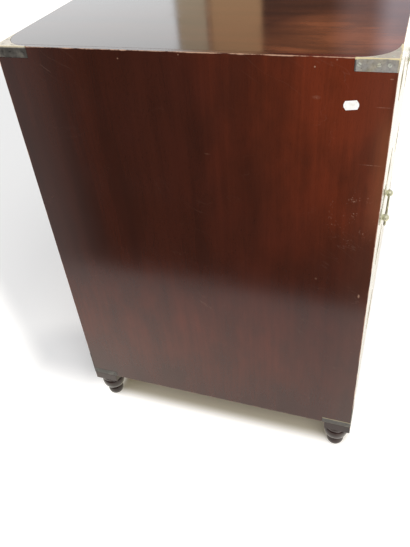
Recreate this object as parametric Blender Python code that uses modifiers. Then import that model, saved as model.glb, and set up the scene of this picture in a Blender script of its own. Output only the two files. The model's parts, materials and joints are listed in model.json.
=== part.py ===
"""A chest of four drawers with brass corners and turned feet, built as separate pieces.

Metres, +Z up, and the front faces -Y. The origin lies on the floor under the middle of
the chest's overall box. The front handles stand out of the front, so the carcass sits
about half their reach behind the origin.
"""

import math

import bmesh
import bpy
from mathutils import Matrix, Vector

# Carcass
CARCASS_HEIGHT = 0.820
CARCASS_WIDTH = 1.020
CARCASS_DEPTH = 0.6425
SIDE_THICKNESS = 0.020
TOP_THICKNESS = 0.0185
BOTTOM_THICKNESS = 0.0185
BACK_THICKNESS = 0.010
LAP = 0.010
DUST_BOARD_THICKNESS = 0.014
DADO_DEPTH = 0.006
TOP_RAIL_DROP = 0.0235
BOTTOM_RAIL_RISE = 0.0215
RAIL_DEPTH = 0.060
RUNNER_WIDTH = 0.022
ARRIS = 0.0010

# The gap that touching pieces keep, how far a cutter runs past what it cuts, and how
# near two points of one mesh lie when they are the same point
FIT = 0.0003
OVERRUN = 0.002
WELD = 0.00003

# Drawer rows from the top down; the lowest row takes the height that is left
UPPER_ROW_HEIGHTS = (0.165, 0.170, 0.176)

# Drawers
FRONT_THICKNESS = 0.022
FRONT_GAP = 0.0010
DRAWER_SIDE_THICKNESS = 0.010
DRAWER_BACK_THICKNESS = 0.010
DRAWER_BOTTOM_THICKNESS = 0.006
DRAWER_BOTTOM_LIFT = 0.007
DRAWER_GROOVE = 0.005
DRAWER_HEADROOM = 0.008
SPACE_BEHIND_DRAWER = 0.020

# Brass corners
CORNER_LENGTH = 0.059
CORNER_WIDTH = 0.0185
CORNER_TIP = 0.0030
LOWER_CORNER_LENGTH = 0.063
LOWER_CORNER_WIDTH = 0.0155
LOWER_CORNER_UPRIGHT = 0.068
UPRIGHT_WIDTH = 0.0185
BRASS_THICKNESS = 0.0018
BRASS_PROUD = 0.0002

# Feet, turned below a square block
FOOT_HEIGHT = 0.1005
BLOCK_WIDTH = 0.058
BLOCK_HEIGHT = 0.0230
FOOT_INSET_SIDE = 0.029
FOOT_INSET_FRONT = 0.033
FOOT_INSET_BACK = 0.029
RING_RADIUS = 0.0280
RING_HEIGHT = 0.0120
GROOVE_RADIUS = 0.0240
BULB_RADIUS = 0.0286
BULB_RISE = 0.0100
BULB_FALL = 0.0230
NECK_RADIUS = 0.0150
BALL_RADIUS = 0.0198
SOLE_RADIUS = 0.0080
TENON_RADIUS = 0.016
TENON_HEIGHT = 0.008

# Flush handles
FLUSH_FROM_SIDE = 0.254
PLATE_WIDTH = 0.098
PLATE_HEIGHT = 0.044
PLATE_THICKNESS = 0.003
PLATE_PROUD = 0.0005
PLATE_CORNER = 0.004
CUP_WIDTH = 0.066
CUP_HEIGHT = 0.030
CUP_DEPTH = 0.009
CUP_WALL = 0.0024
CUP_CORNER = 0.011
DROP_RADIUS = 0.0024
DROP_SWELL = 1.22
DROP_LENGTH = 0.0190
DROP_BEND = 0.0034
DROP_CURVE = 0.0080
DROP_TOP_GAP = 0.0036
DROP_SIDE_GAP = 0.0006
PIN_REACH = 0.0015
PIN_CLEARANCE = 0.0003

# Bail handles of the second drawer
BAIL_FROM_SIDE = 0.123
BAIL_DRAWER = 2
BAIL_SPACING = 0.082
ROSE_RADIUS = 0.0150
ROSE_THICKNESS = 0.0016
ROSE_LINK_HEIGHT = 0.0060
ROSE_LINK_THICKNESS = 0.0010
POST_RADIUS = 0.0060
POST_REACH = 0.0150
BAIL_STANDOFF = 0.0084
BAIL_RADIUS = 0.0020
BAIL_SWELL = 1.20
BAIL_LENGTH = 0.0265
BAIL_BEND = 0.0034
BAIL_CURVE = 0.0100
BAIL_SIDE_GAP = 0.0006
BAIL_PIN_REACH = 0.0025

# How finely the round shapes are stepped
ARRIS_STEPS = 2
CORNER_STEPS = 3
CORNER_ARC_STEPS = 10
TURNING_STEPS = 24
RING_ARC_STEPS = 5
BULB_TOP_STEPS = 2
BULB_ARC_STEPS = 4
BALL_ARC_STEPS = 7
POST_STEPS = 16
ROSE_STEPS = 32
BEND_STEPS = 3
WIRE_STEPS = 2
SHARP_ANGLE = math.radians(50)
SAME_WAY = 0.9

# Places that follow from the sizes
CARCASS_Y = (POST_REACH - BRASS_PROUD) / 2
FRONT_Y = CARCASS_Y - CARCASS_DEPTH / 2
BACK_Y = CARCASS_Y + CARCASS_DEPTH / 2
FLOOR_OF_CARCASS = FOOT_HEIGHT
TOP_OF_CARCASS = FOOT_HEIGHT + CARCASS_HEIGHT
HALF_WIDTH = CARCASS_WIDTH / 2
INNER_HALF = HALF_WIDTH - SIDE_THICKNESS
ROWS_TOP = TOP_OF_CARCASS - TOP_THICKNESS - TOP_RAIL_DROP
ROWS_BOTTOM = FLOOR_OF_CARCASS + BOTTOM_THICKNESS + BOTTOM_RAIL_RISE

SIDES = {"left": -1, "right": 1}
ENDS = {"front": -1, "back": 1}

# Finishes: colour, roughness and metallic value
MAHOGANY = ((0.090, 0.024, 0.016), 0.22, 0.0)
DRAWER_WOOD = ((0.42, 0.27, 0.14), 0.60, 0.0)
CORNER_BRASS = ((0.34, 0.29, 0.17), 0.42, 1.0)
HANDLE_BRASS = ((0.52, 0.42, 0.20), 0.34, 1.0)


def empty_the_scene():
    for old in list(bpy.data.objects):
        bpy.data.objects.remove(old, do_unlink=True)


def new_collection(name):
    collection = bpy.data.collections.new(name)
    bpy.context.scene.collection.children.link(collection)
    return collection


empty_the_scene()
PARTS = new_collection("commode_chest")
CUTTERS = new_collection("cutters")


def material_for(name, finish):
    colour, roughness, metallic = finish
    material = bpy.data.materials.new(name)
    material.use_nodes = True
    shader = material.node_tree.nodes["Principled BSDF"]
    shader.inputs["Base Color"].default_value = (*colour, 1.0)
    shader.inputs["Roughness"].default_value = roughness
    shader.inputs["Metallic"].default_value = metallic
    material.diffuse_color = (*colour, 1.0)
    return material


def add_piece(name, shape_data, place, finish, parent=None):
    """A named object of one finish at a place in the world, carried by its parent."""
    piece = bpy.data.objects.new(name, shape_data)
    PARTS.objects.link(piece)
    shape_data.materials.clear()
    shape_data.materials.append(material_for(name, finish))
    piece.location = Vector(place)
    if parent is not None:
        piece.parent = parent
        piece.location -= parent.location
    return piece


def add_cutter(name, mesh, place=(0, 0, 0)):
    cutter = bpy.data.objects.new(name, mesh)
    CUTTERS.objects.link(cutter)
    cutter.location = Vector(place)
    cutter.hide_render = True
    cutter.display_type = "WIRE"
    return cutter


def boolean(piece, other, operation):
    step = piece.modifiers.new(operation.lower(), "BOOLEAN")
    step.operation = operation
    step.solver = "EXACT"
    step.object = other


def mesh_of(name, shape):
    """A bmesh as a mesh whose faces point out, smooth but for its sharp edges."""
    bmesh.ops.recalc_face_normals(shape, faces=shape.faces)
    mesh = bpy.data.meshes.new(name)
    shape.to_mesh(mesh)
    shape.free()
    mesh.shade_smooth()
    mesh.set_sharp_from_angle(angle=SHARP_ANGLE)
    return mesh


def middle(low, high):
    return (Vector(low) + Vector(high)) / 2


def block_shape(low, high):
    """A box about its own middle, as a bmesh."""
    size = Vector(high) - Vector(low)
    shape = bmesh.new()
    bmesh.ops.create_cube(shape, size=1)
    bmesh.ops.scale(shape, vec=size, verts=shape.verts)
    return shape


def round_edges(shape, chosen, radius, segments):
    edges = [edge for edge in shape.edges if chosen(edge)]
    bmesh.ops.bevel(
        shape,
        geom=edges,
        offset=radius,
        offset_type="OFFSET",
        segments=segments,
        profile=0.5,
        affect="EDGES",
        material=-1,
        clamp_overlap=True,
    )


def borders(normal):
    """Chooses the edges round the face that points along normal."""
    def chosen(edge):
        return any(face.normal.dot(Vector(normal)) > SAME_WAY for face in edge.link_faces)
    return chosen


def block(name, low, high, finish, parent=None, soft_face=None):
    """A board from its low to its high corner, with one face's arrises eased."""
    shape = block_shape(low, high)
    if soft_face is not None:
        shape.normal_update()
        round_edges(shape, borders(soft_face), ARRIS, ARRIS_STEPS)
    return add_piece(name, mesh_of(name, shape), middle(low, high), finish, parent)


def block_cutter(name, low, high):
    return add_cutter(name, mesh_of(name, block_shape(low, high)), middle(low, high))


def cut_block(piece, low, high):
    low, high = ([min(pair) for pair in zip(low, high)], [max(pair) for pair in zip(low, high)])
    boolean(piece, block_cutter(piece.name + "_cut", low, high), "DIFFERENCE")


def rod_mesh(name, start, end, radius, steps=POST_STEPS):
    """A round bar between two points, in the world's place."""
    start, end = Vector(start), Vector(end)
    shape = bmesh.new()
    bmesh.ops.create_cone(
        shape,
        cap_ends=True,
        segments=steps,
        radius1=radius,
        radius2=radius,
        depth=(end - start).length,
    )
    turn = Vector((0, 0, 1)).rotation_difference(end - start).to_matrix().to_4x4()
    bmesh.ops.transform(shape, matrix=Matrix.Translation((start + end) / 2) @ turn, verts=shape.verts)
    return mesh_of(name, shape)


def outline_mesh(name, points, thickness):
    """A flat plate from its outline in X and Y, centred on Z = 0, as a closed mesh."""
    curve = bpy.data.curves.new(name, "CURVE")
    curve.dimensions = "2D"
    curve.fill_mode = "BOTH"
    curve.extrude = thickness / 2
    spline = curve.splines.new("POLY")
    spline.points.add(len(points) - 1)
    for point, (x, y) in zip(spline.points, points):
        point.co = (x, y, 0, 1)
    spline.use_cyclic_u = True
    return mesh_from_curve(name, curve)


def mesh_from_curve(name, curve):
    """The closed mesh of a curve; the curve itself is removed."""
    holder = bpy.data.objects.new(name, curve)
    CUTTERS.objects.link(holder)
    bpy.context.view_layer.update()
    evaluated = holder.evaluated_get(bpy.context.evaluated_depsgraph_get())
    loose = bpy.data.meshes.new_from_object(evaluated)
    bpy.data.objects.remove(holder, do_unlink=True)
    shape = bmesh.new()
    shape.from_mesh(loose)
    bpy.data.meshes.remove(loose)
    bmesh.ops.remove_doubles(shape, verts=shape.verts, dist=WELD)
    return mesh_of(name, shape)


# Carcass

def build_side(hand):
    """One side board, with laps for the top, bottom and back, and dados for the dust boards."""
    sign = SIDES[hand]
    outer, inner = sign * HALF_WIDTH, sign * INNER_HALF
    low = (min(outer, inner), FRONT_Y, FLOOR_OF_CARCASS)
    high = (max(outer, inner), BACK_Y, TOP_OF_CARCASS)
    side = block("side_" + hand, low, high, MAHOGANY, soft_face=(sign, 0, 0))
    past_low = (sign * (HALF_WIDTH - LAP), FRONT_Y - OVERRUN, FLOOR_OF_CARCASS - OVERRUN)
    past_x = inner - sign * OVERRUN
    past_high = (past_x, BACK_Y + OVERRUN, TOP_OF_CARCASS + OVERRUN)
    lap_end = TOP_OF_CARCASS - TOP_THICKNESS - FIT
    cut_block(side, (past_low[0], past_low[1], lap_end), past_high)
    lap_end = FLOOR_OF_CARCASS + BOTTOM_THICKNESS + FIT
    cut_block(side, past_low, (past_high[0], past_high[1], lap_end))
    lap_end = BACK_Y - BACK_THICKNESS - FIT
    cut_block(side, (past_low[0], lap_end, past_low[2]), past_high)
    for board_top in dust_board_tops():
        low = (inner + sign * DADO_DEPTH, FRONT_Y + FRONT_THICKNESS, board_top - DUST_BOARD_THICKNESS - FIT)
        cut_block(side, low, (past_x, BACK_Y + OVERRUN, board_top + FIT))
    return side


def row_spans():
    """The bottom and top of each drawer row, from the top row down."""
    spans = []
    top = ROWS_TOP
    for height in UPPER_ROW_HEIGHTS:
        spans.append((top - height, top))
        top = top - height - DUST_BOARD_THICKNESS
    spans.append((ROWS_BOTTOM, top))
    return spans


def dust_board_tops():
    return [bottom for bottom, top in row_spans()[:-1]]


def add_rail_and_runners(board, low_z, high_z):
    """Glues a rail along a board's front edge, and a runner from it to the back at each side."""
    reach = INNER_HALF - FIT
    runner_end = BACK_Y - BACK_THICKNESS - FIT
    bars = {
        "rail": ((-reach, FRONT_Y), (reach, FRONT_Y + RAIL_DEPTH)),
        "runner_left": ((-reach, FRONT_Y + RAIL_DEPTH / 2), (RUNNER_WIDTH - reach, runner_end)),
        "runner_right": ((reach - RUNNER_WIDTH, FRONT_Y + RAIL_DEPTH / 2), (reach, runner_end)),
    }
    for name, (low, high) in bars.items():
        bar = block_cutter(f"{board.name}_{name}", (*low, low_z), (*high, high_z))
        boolean(board, bar, "UNION")


def build_top():
    """The top board, with the rail and the strips that keep the upper drawer level."""
    reach = HALF_WIDTH - LAP - FIT
    low = (-reach, FRONT_Y, TOP_OF_CARCASS - TOP_THICKNESS)
    top = block("top", low, (reach, BACK_Y, TOP_OF_CARCASS), MAHOGANY)
    add_rail_and_runners(top, ROWS_TOP, TOP_OF_CARCASS - TOP_THICKNESS / 2)
    return top


def build_bottom():
    """The bottom board, with the rail and the runners that carry the lowest drawer."""
    reach = HALF_WIDTH - LAP - FIT
    low = (-reach, FRONT_Y, FLOOR_OF_CARCASS)
    bottom = block("bottom", low, (reach, BACK_Y, FLOOR_OF_CARCASS + BOTTOM_THICKNESS), MAHOGANY)
    add_rail_and_runners(bottom, FLOOR_OF_CARCASS + BOTTOM_THICKNESS / 2, ROWS_BOTTOM)
    return bottom


def build_back():
    reach = HALF_WIDTH - LAP - FIT
    low = (-reach, BACK_Y - BACK_THICKNESS, FLOOR_OF_CARCASS + BOTTOM_THICKNESS + FIT)
    return block("back_panel", low, (reach, BACK_Y, TOP_OF_CARCASS - TOP_THICKNESS - FIT), MAHOGANY)


def build_dust_boards():
    """Each dust board fills its dados, and its front edge shows between two drawers."""
    board_back = BACK_Y - BACK_THICKNESS - FIT
    for number, board_top in enumerate(dust_board_tops(), 1):
        reach = INNER_HALF - FIT
        low = (-reach, FRONT_Y, board_top - DUST_BOARD_THICKNESS)
        board = block(f"dust_board_{number}", low, (reach, board_back, board_top), MAHOGANY)
        reach = INNER_HALF + DADO_DEPTH - FIT
        low = (-reach, FRONT_Y + FRONT_THICKNESS + FIT, board_top - DUST_BOARD_THICKNESS)
        tongue = block_cutter(board.name + "_tongue", low, (reach, board_back, board_top))
        boolean(board, tongue, "UNION")


# Brass corners. Each is worked out in its corner's own three directions: in from the
# side face, in from the front or back face, and down from the top or up from the bottom.

def corner_frame(hand, end, level):
    """Turns the corner's own distances into a place in the world."""
    side, face = SIDES[hand], ENDS[end]
    edge = TOP_OF_CARCASS if level == "top" else FLOOR_OF_CARCASS
    rise = -1 if level == "top" else 1
    return Matrix((
        (-side, 0, 0, side * HALF_WIDTH),
        (0, -face, 0, CARCASS_Y + face * CARCASS_DEPTH / 2),
        (0, 0, rise, edge),
        (0, 0, 0, 1),
    ))


def corner_block_mesh(name, frame, size, skin, grow):
    """A strap that covers size from the corner, with one thin direction given by skin."""
    low = Vector((-BRASS_PROUD,) * 3)
    high = Vector([BRASS_THICKNESS - BRASS_PROUD if i == skin else size[i] for i in range(3)])
    if grow:
        low = Vector((-OVERRUN,) * 3)
        high = high + Vector((FIT,) * 3)
    shape = block_shape(low, high)
    bmesh.ops.translate(shape, vec=middle(low, high), verts=shape.verts)
    bmesh.ops.transform(shape, matrix=frame, verts=shape.verts)
    return mesh_of(name, shape)


def corner_plate_mesh(name, frame, grow):
    """The plate on the top: a square corner whose inner edge is a hollow quarter circle."""
    low = -OVERRUN if grow else -BRASS_PROUD
    spare = FIT if grow else 0
    reach = CORNER_LENGTH + spare
    hollow = CORNER_LENGTH - CORNER_TIP - spare
    points = [(low, low), (reach, low)]
    for step in range(CORNER_ARC_STEPS + 1):
        angle = math.radians(90) * step / CORNER_ARC_STEPS
        points.append((CORNER_LENGTH - hollow * math.sin(angle), CORNER_LENGTH - hollow * math.cos(angle)))
    if grow:
        points.insert(2, (reach, CORNER_LENGTH - hollow))
        points.append((CORNER_LENGTH - hollow, reach))
    points.append((low, reach))
    depth = BRASS_THICKNESS - BRASS_PROUD + spare
    mesh = outline_mesh(name, points, depth - low)
    shape = bmesh.new()
    shape.from_mesh(mesh)
    bmesh.ops.translate(shape, vec=(0, 0, (depth + low) / 2), verts=shape.verts)
    bmesh.ops.transform(shape, matrix=frame, verts=shape.verts)
    return mesh_of(name, shape)


def corner_meshes(name, frame, level, grow):
    """The thin plates that make one corner."""
    if level == "top":
        side_size = (0, CORNER_LENGTH, CORNER_WIDTH)
        face_size = (CORNER_LENGTH, 0, CORNER_WIDTH)
        third = corner_plate_mesh(name + "_plate", frame, grow)
    else:
        side_size = (0, LOWER_CORNER_LENGTH, LOWER_CORNER_WIDTH)
        face_size = (LOWER_CORNER_LENGTH, 0, LOWER_CORNER_WIDTH)
        third = corner_block_mesh(name + "_upright", frame, (UPRIGHT_WIDTH, 0, LOWER_CORNER_UPRIGHT), 1, grow)
    return [
        corner_block_mesh(name + "_side", frame, side_size, 0, grow),
        corner_block_mesh(name + "_face", frame, face_size, 1, grow),
        third,
    ]


def build_corner(hand, end, level, boards):
    """One brass corner, let into the boards that it covers."""
    name = f"corner_{level}_{end}_{hand}"
    frame = corner_frame(hand, end, level)
    first, *others = corner_meshes(name, frame, level, False)
    brass = add_piece(name, first, (0, 0, 0), CORNER_BRASS)
    for mesh in others:
        boolean(brass, add_cutter(mesh.name, mesh), "UNION")
    for mesh in corner_meshes(name + "_recess", frame, level, True):
        recess = add_cutter(mesh.name, mesh)
        for board in boards:
            boolean(board, recess, "DIFFERENCE")


# Feet

def arc_points(start_angle, end_angle, steps, centre, radii):
    """Points (radius, height) along part of an ellipse."""
    points = []
    for step in range(steps + 1):
        angle = math.radians(start_angle + (end_angle - start_angle) * step / steps)
        points.append((centre[0] + radii[0] * math.cos(angle), centre[1] + radii[1] * math.sin(angle)))
    return points


def foot_profile():
    """The turned foot's outline from top to bottom, heights from the floor."""
    ring_top = FOOT_HEIGHT - BLOCK_HEIGHT
    ring_middle = ring_top - RING_HEIGHT / 2
    bulb_top = ring_top - RING_HEIGHT
    bulb_middle = bulb_top - BULB_RISE
    neck = bulb_middle - BULB_FALL
    sole_angle = math.degrees(math.acos(SOLE_RADIUS / BALL_RADIUS))
    ball_middle = BALL_RADIUS * math.sin(math.radians(sole_angle))
    neck_angle = math.degrees(math.acos(NECK_RADIUS / BALL_RADIUS))
    tenon_top = ring_top + TENON_HEIGHT
    points = [(0, tenon_top), (TENON_RADIUS, tenon_top), (TENON_RADIUS, ring_top)]
    ring_swell = RING_RADIUS - GROOVE_RADIUS
    points += arc_points(90, -90, RING_ARC_STEPS, (GROOVE_RADIUS, ring_middle), (ring_swell, RING_HEIGHT / 2))
    bulb_swell = BULB_RADIUS - GROOVE_RADIUS
    bulb_centre = (GROOVE_RADIUS, bulb_middle)
    points += arc_points(90, 0, BULB_TOP_STEPS, bulb_centre, (bulb_swell, BULB_RISE))[1:]
    bulb_drop = BULB_RADIUS - NECK_RADIUS
    points += arc_points(0, -90, BULB_ARC_STEPS, (NECK_RADIUS, bulb_middle), (bulb_drop, BULB_FALL))[1:]
    ball_radii = (BALL_RADIUS, BALL_RADIUS)
    points += arc_points(neck_angle, -sole_angle, BALL_ARC_STEPS, (0, ball_middle), ball_radii)
    points.append((0, 0))
    return points


def turned_cutter(name, points):
    """A solid turned about Z from its outline, through a Screw modifier."""
    mesh = bpy.data.meshes.new(name)
    spots = [(radius, 0, height) for radius, height in points]
    mesh.from_pydata(spots, [(i, i + 1) for i in range(len(spots) - 1)], [])
    turned = add_cutter(name, mesh)
    screw = turned.modifiers.new("turning", "SCREW")
    screw.axis = "Z"
    screw.steps = TURNING_STEPS
    screw.render_steps = TURNING_STEPS
    screw.use_merge_vertices = True
    screw.merge_threshold = WELD
    return turned


def build_foot(hand, end):
    """A turned foot with its square block, as one piece under a corner of the carcass."""
    name = f"foot_{end}_{hand}"
    side, face = SIDES[hand], ENDS[end]
    inset = FOOT_INSET_FRONT if end == "front" else FOOT_INSET_BACK
    outer_x = side * HALF_WIDTH
    outer_y = CARCASS_Y + face * CARCASS_DEPTH / 2
    corners_x = sorted((outer_x, outer_x - side * BLOCK_WIDTH))
    corners_y = sorted((outer_y, outer_y - face * BLOCK_WIDTH))
    low = (corners_x[0], corners_y[0], FOOT_HEIGHT - BLOCK_HEIGHT)
    foot = block(name, low, (corners_x[1], corners_y[1], FOOT_HEIGHT - FIT), MAHOGANY)
    turned = turned_cutter(name + "_turned", foot_profile())
    turned.location = (outer_x - side * FOOT_INSET_SIDE, outer_y - face * inset, 0)
    boolean(foot, turned, "UNION")


# Handles

def bail_path(half_pin, half_leg, bend, curve, length):
    """The middle line of a hanging loop: a pin, a leg, the bar, the other leg and its pin."""
    corner = (-half_leg - bend, -bend)
    left = [(-half_pin, 0)]
    left += arc_points(90, 0, BEND_STEPS, corner, (bend, bend))
    corner = (-half_leg + curve, -length + curve)
    left += arc_points(180, 270, BEND_STEPS + 1, corner, (curve, curve))
    right = [(-x, z) for x, z in reversed(left)]
    return left + [(0, -length)] + right


def loop_curve(name, path, radius, swell, length):
    """A bent bar along path, thickest in the middle of its grip."""
    curve = bpy.data.curves.new(name, "CURVE")
    curve.dimensions = "3D"
    curve.bevel_depth = radius
    curve.bevel_resolution = WIRE_STEPS
    curve.use_fill_caps = True
    spline = curve.splines.new("POLY")
    spline.points.add(len(path) - 1)
    for point, (x, z) in zip(spline.points, path):
        point.co = (x, 0, z, 1)
        point.radius = 1 + (swell - 1) * (-z / length) ** 2
    return curve


def rounded_block(low, high, radius, only_lower=False):
    """A box whose edges along Y are rounded, all four or the two lower ones."""
    def along_y(edge):
        start, end = (vert.co for vert in edge.verts)
        return abs((start - end).normalized().y) > SAME_WAY and not (only_lower and start.z > 0)

    shape = block_shape(low, high)
    round_edges(shape, along_y, radius, CORNER_STEPS)
    return shape


def build_flush_handle(number, hand, drawer, front, centre_z):
    """A recessed plate let into the drawer front, and the drop that swings in it."""
    centre_x = SIDES[hand] * (HALF_WIDTH - FLUSH_FROM_SIDE)
    face_y = FRONT_Y - PLATE_PROUD
    name = f"drawer_{number}_plate_{hand}"

    def around(width, height, y_from, y_to, spare=0):
        low = (centre_x - width / 2 - spare, y_from, centre_z - height / 2 - spare)
        high = (centre_x + width / 2 + spare, y_to + spare, centre_z + height / 2 + spare)
        return low, high

    plate_back = face_y + PLATE_THICKNESS
    low, high = around(PLATE_WIDTH, PLATE_HEIGHT, face_y, plate_back)
    plate_mesh = mesh_of(name, rounded_block(low, high, PLATE_CORNER))
    plate = add_piece(name, plate_mesh, middle(low, high), HANDLE_BRASS, drawer)
    outer_width, outer_height = CUP_WIDTH + 2 * CUP_WALL, CUP_HEIGHT + 2 * CUP_WALL
    cup_back = FRONT_Y + CUP_DEPTH
    low, high = around(outer_width, outer_height, plate_back - PLATE_THICKNESS / 2, cup_back + CUP_WALL)
    cup = mesh_of(name + "_cup", rounded_block(low, high, CUP_CORNER + CUP_WALL, True))
    boolean(plate, add_cutter(cup.name, cup, middle(low, high)), "UNION")
    low, high = around(CUP_WIDTH, CUP_HEIGHT, face_y - OVERRUN, cup_back)
    hollow = mesh_of(name + "_hollow", rounded_block(low, high, CUP_CORNER, True))
    boolean(plate, add_cutter(hollow.name, hollow, middle(low, high)), "DIFFERENCE")

    pivot = Vector((centre_x, face_y + DROP_RADIUS, centre_z + CUP_HEIGHT / 2 - DROP_TOP_GAP))
    half_hole = CUP_WIDTH / 2 + PIN_REACH + FIT
    ends = [pivot - Vector((half_hole, 0, 0)), pivot + Vector((half_hole, 0, 0))]
    hole = rod_mesh(name + "_pin_hole", *ends, DROP_RADIUS + PIN_CLEARANCE)
    boolean(plate, add_cutter(hole.name, hole), "DIFFERENCE")

    low, high = around(PLATE_WIDTH, PLATE_HEIGHT, face_y - OVERRUN, plate_back, FIT)
    rebate = mesh_of(name + "_rebate", rounded_block(low, high, PLATE_CORNER + FIT))
    boolean(front, add_cutter(rebate.name, rebate, middle(low, high)), "DIFFERENCE")
    low, high = around(outer_width, outer_height, face_y - OVERRUN, cup_back + CUP_WALL, FIT)
    pocket = mesh_of(name + "_pocket", rounded_block(low, high, CUP_CORNER + CUP_WALL + FIT, True))
    boolean(front, add_cutter(pocket.name, pocket, middle(low, high)), "DIFFERENCE")

    half_leg = CUP_WIDTH / 2 - DROP_SIDE_GAP - DROP_BEND
    path = bail_path(CUP_WIDTH / 2 + PIN_REACH, half_leg, DROP_BEND, DROP_CURVE, DROP_LENGTH)
    curve = loop_curve(f"drawer_{number}_drop_{hand}", path, DROP_RADIUS, DROP_SWELL, DROP_LENGTH)
    add_piece(curve.name, curve, pivot, HANDLE_BRASS, drawer)


def build_bail_handle(hand, drawer, centre_z):
    """Two round roses joined by a narrow link, a post on each, and the bail that hangs from them."""
    name = "bail_plate_" + hand
    centre_x = SIDES[hand] * (HALF_WIDTH - BAIL_FROM_SIDE)
    back_y = FRONT_Y - FIT
    low = (centre_x - BAIL_SPACING / 2, back_y - ROSE_LINK_THICKNESS, centre_z - ROSE_LINK_HEIGHT / 2)
    high = (centre_x + BAIL_SPACING / 2, back_y, centre_z + ROSE_LINK_HEIGHT / 2)
    plate = block(name, low, high, HANDLE_BRASS, drawer)
    pivot = Vector((centre_x, FRONT_Y - BAIL_STANDOFF, centre_z))
    half_pin = BAIL_SPACING / 2 - POST_RADIUS + BAIL_PIN_REACH
    for sign in (-1, 1):
        back = Vector((centre_x + sign * BAIL_SPACING / 2, back_y, centre_z))
        foot = back - Vector((0, ROSE_THICKNESS, 0))
        rose = rod_mesh(f"{name}_rose_{sign}", back, foot, ROSE_RADIUS, ROSE_STEPS)
        boolean(plate, add_cutter(rose.name, rose), "UNION")
        foot.y = back_y - ROSE_THICKNESS / 2
        head = Vector((foot.x, FRONT_Y - POST_REACH, centre_z))
        post = rod_mesh(f"{name}_post_{sign}", foot, head, POST_RADIUS)
        boolean(plate, add_cutter(post.name, post), "UNION")
    hole_end = Vector((half_pin + FIT, 0, 0))
    hole = rod_mesh(name + "_pin_hole", pivot - hole_end, pivot + hole_end, BAIL_RADIUS + PIN_CLEARANCE)
    boolean(plate, add_cutter(hole.name, hole), "DIFFERENCE")
    half_leg = BAIL_SPACING / 2 - POST_RADIUS - BAIL_SIDE_GAP - BAIL_BEND
    path = bail_path(half_pin, half_leg, BAIL_BEND, BAIL_CURVE, BAIL_LENGTH)
    curve = loop_curve("bail_" + hand, path, BAIL_RADIUS, BAIL_SWELL, BAIL_LENGTH)
    add_piece(curve.name, curve, pivot, HANDLE_BRASS, drawer)


# Drawers

def build_drawer(number, row_bottom, row_top):
    """A front, two grooved sides, a back and a bottom, all carried by one empty."""
    name = f"drawer_{number}_"
    drawer = bpy.data.objects.new(name + "slide", None)
    PARTS.objects.link(drawer)
    drawer.location = (0, FRONT_Y, (row_bottom + row_top) / 2)
    reach = INNER_HALF - FRONT_GAP
    low = (-reach, FRONT_Y, row_bottom + FRONT_GAP)
    high = (reach, FRONT_Y + FRONT_THICKNESS, row_top - FRONT_GAP)
    front = block(name + "front", low, high, MAHOGANY, drawer, soft_face=(0, -1, 0))

    box_front = FRONT_Y + FRONT_THICKNESS + FIT
    box_back = BACK_Y - BACK_THICKNESS - SPACE_BEHIND_DRAWER
    box_bottom = row_bottom + FIT
    box_top = row_top - DRAWER_HEADROOM
    panel_bottom = box_bottom + DRAWER_BOTTOM_LIFT
    panel_top = panel_bottom + DRAWER_BOTTOM_THICKNESS
    inner = reach - DRAWER_SIDE_THICKNESS
    groove = inner + DRAWER_GROOVE
    for hand, sign in SIDES.items():
        across = sorted((sign * inner, sign * reach))
        low = (across[0], box_front, box_bottom)
        side = block(name + "side_" + hand, low, (across[1], box_back, box_top), DRAWER_WOOD, drawer)
        low = (sign * groove, box_front - OVERRUN, panel_bottom - FIT)
        cut_block(side, low, (sign * (inner - OVERRUN), box_back + OVERRUN, panel_top + FIT))
    low = (-inner + FIT, box_back - DRAWER_BACK_THICKNESS, panel_top + FIT)
    block(name + "back", low, (inner - FIT, box_back, box_top), DRAWER_WOOD, drawer)
    low = (-groove + FIT, box_front, panel_bottom)
    block(name + "bottom", low, (groove - FIT, box_back, panel_top), DRAWER_WOOD, drawer)

    centre_z = (row_bottom + row_top) / 2
    for hand in SIDES:
        build_flush_handle(number, hand, drawer, front, centre_z)
        if number == BAIL_DRAWER:
            build_bail_handle(hand, drawer, centre_z)


def build_chest():
    boards = {hand: build_side(hand) for hand in SIDES}
    top = build_top()
    bottom = build_bottom()
    back = build_back()
    build_dust_boards()
    for hand in SIDES:
        for end in ENDS:
            behind = [back] if end == "back" else []
            build_corner(hand, end, "top", [boards[hand], top])
            build_corner(hand, end, "bottom", [boards[hand], bottom] + behind)
            build_foot(hand, end)
    for number, (row_bottom, row_top) in enumerate(row_spans(), 1):
        build_drawer(number, row_bottom, row_top)


build_chest()
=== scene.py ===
# %% [markdown]
# A chest of drawers with brass corners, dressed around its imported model.
#
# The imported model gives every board, handle and foot at its real size and place. This
# lesson keeps those places, gives each piece the finish that the real chest has, and
# makes the small things that a joiner and a brass worker add: eased edges, turned feet,
# screws, bent handles and keyhole plates. All of it could be modelled afresh, but then
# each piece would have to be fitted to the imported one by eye.

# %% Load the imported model
import json
import math

import bmesh
import bpy
from mathutils import Matrix, Vector

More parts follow.
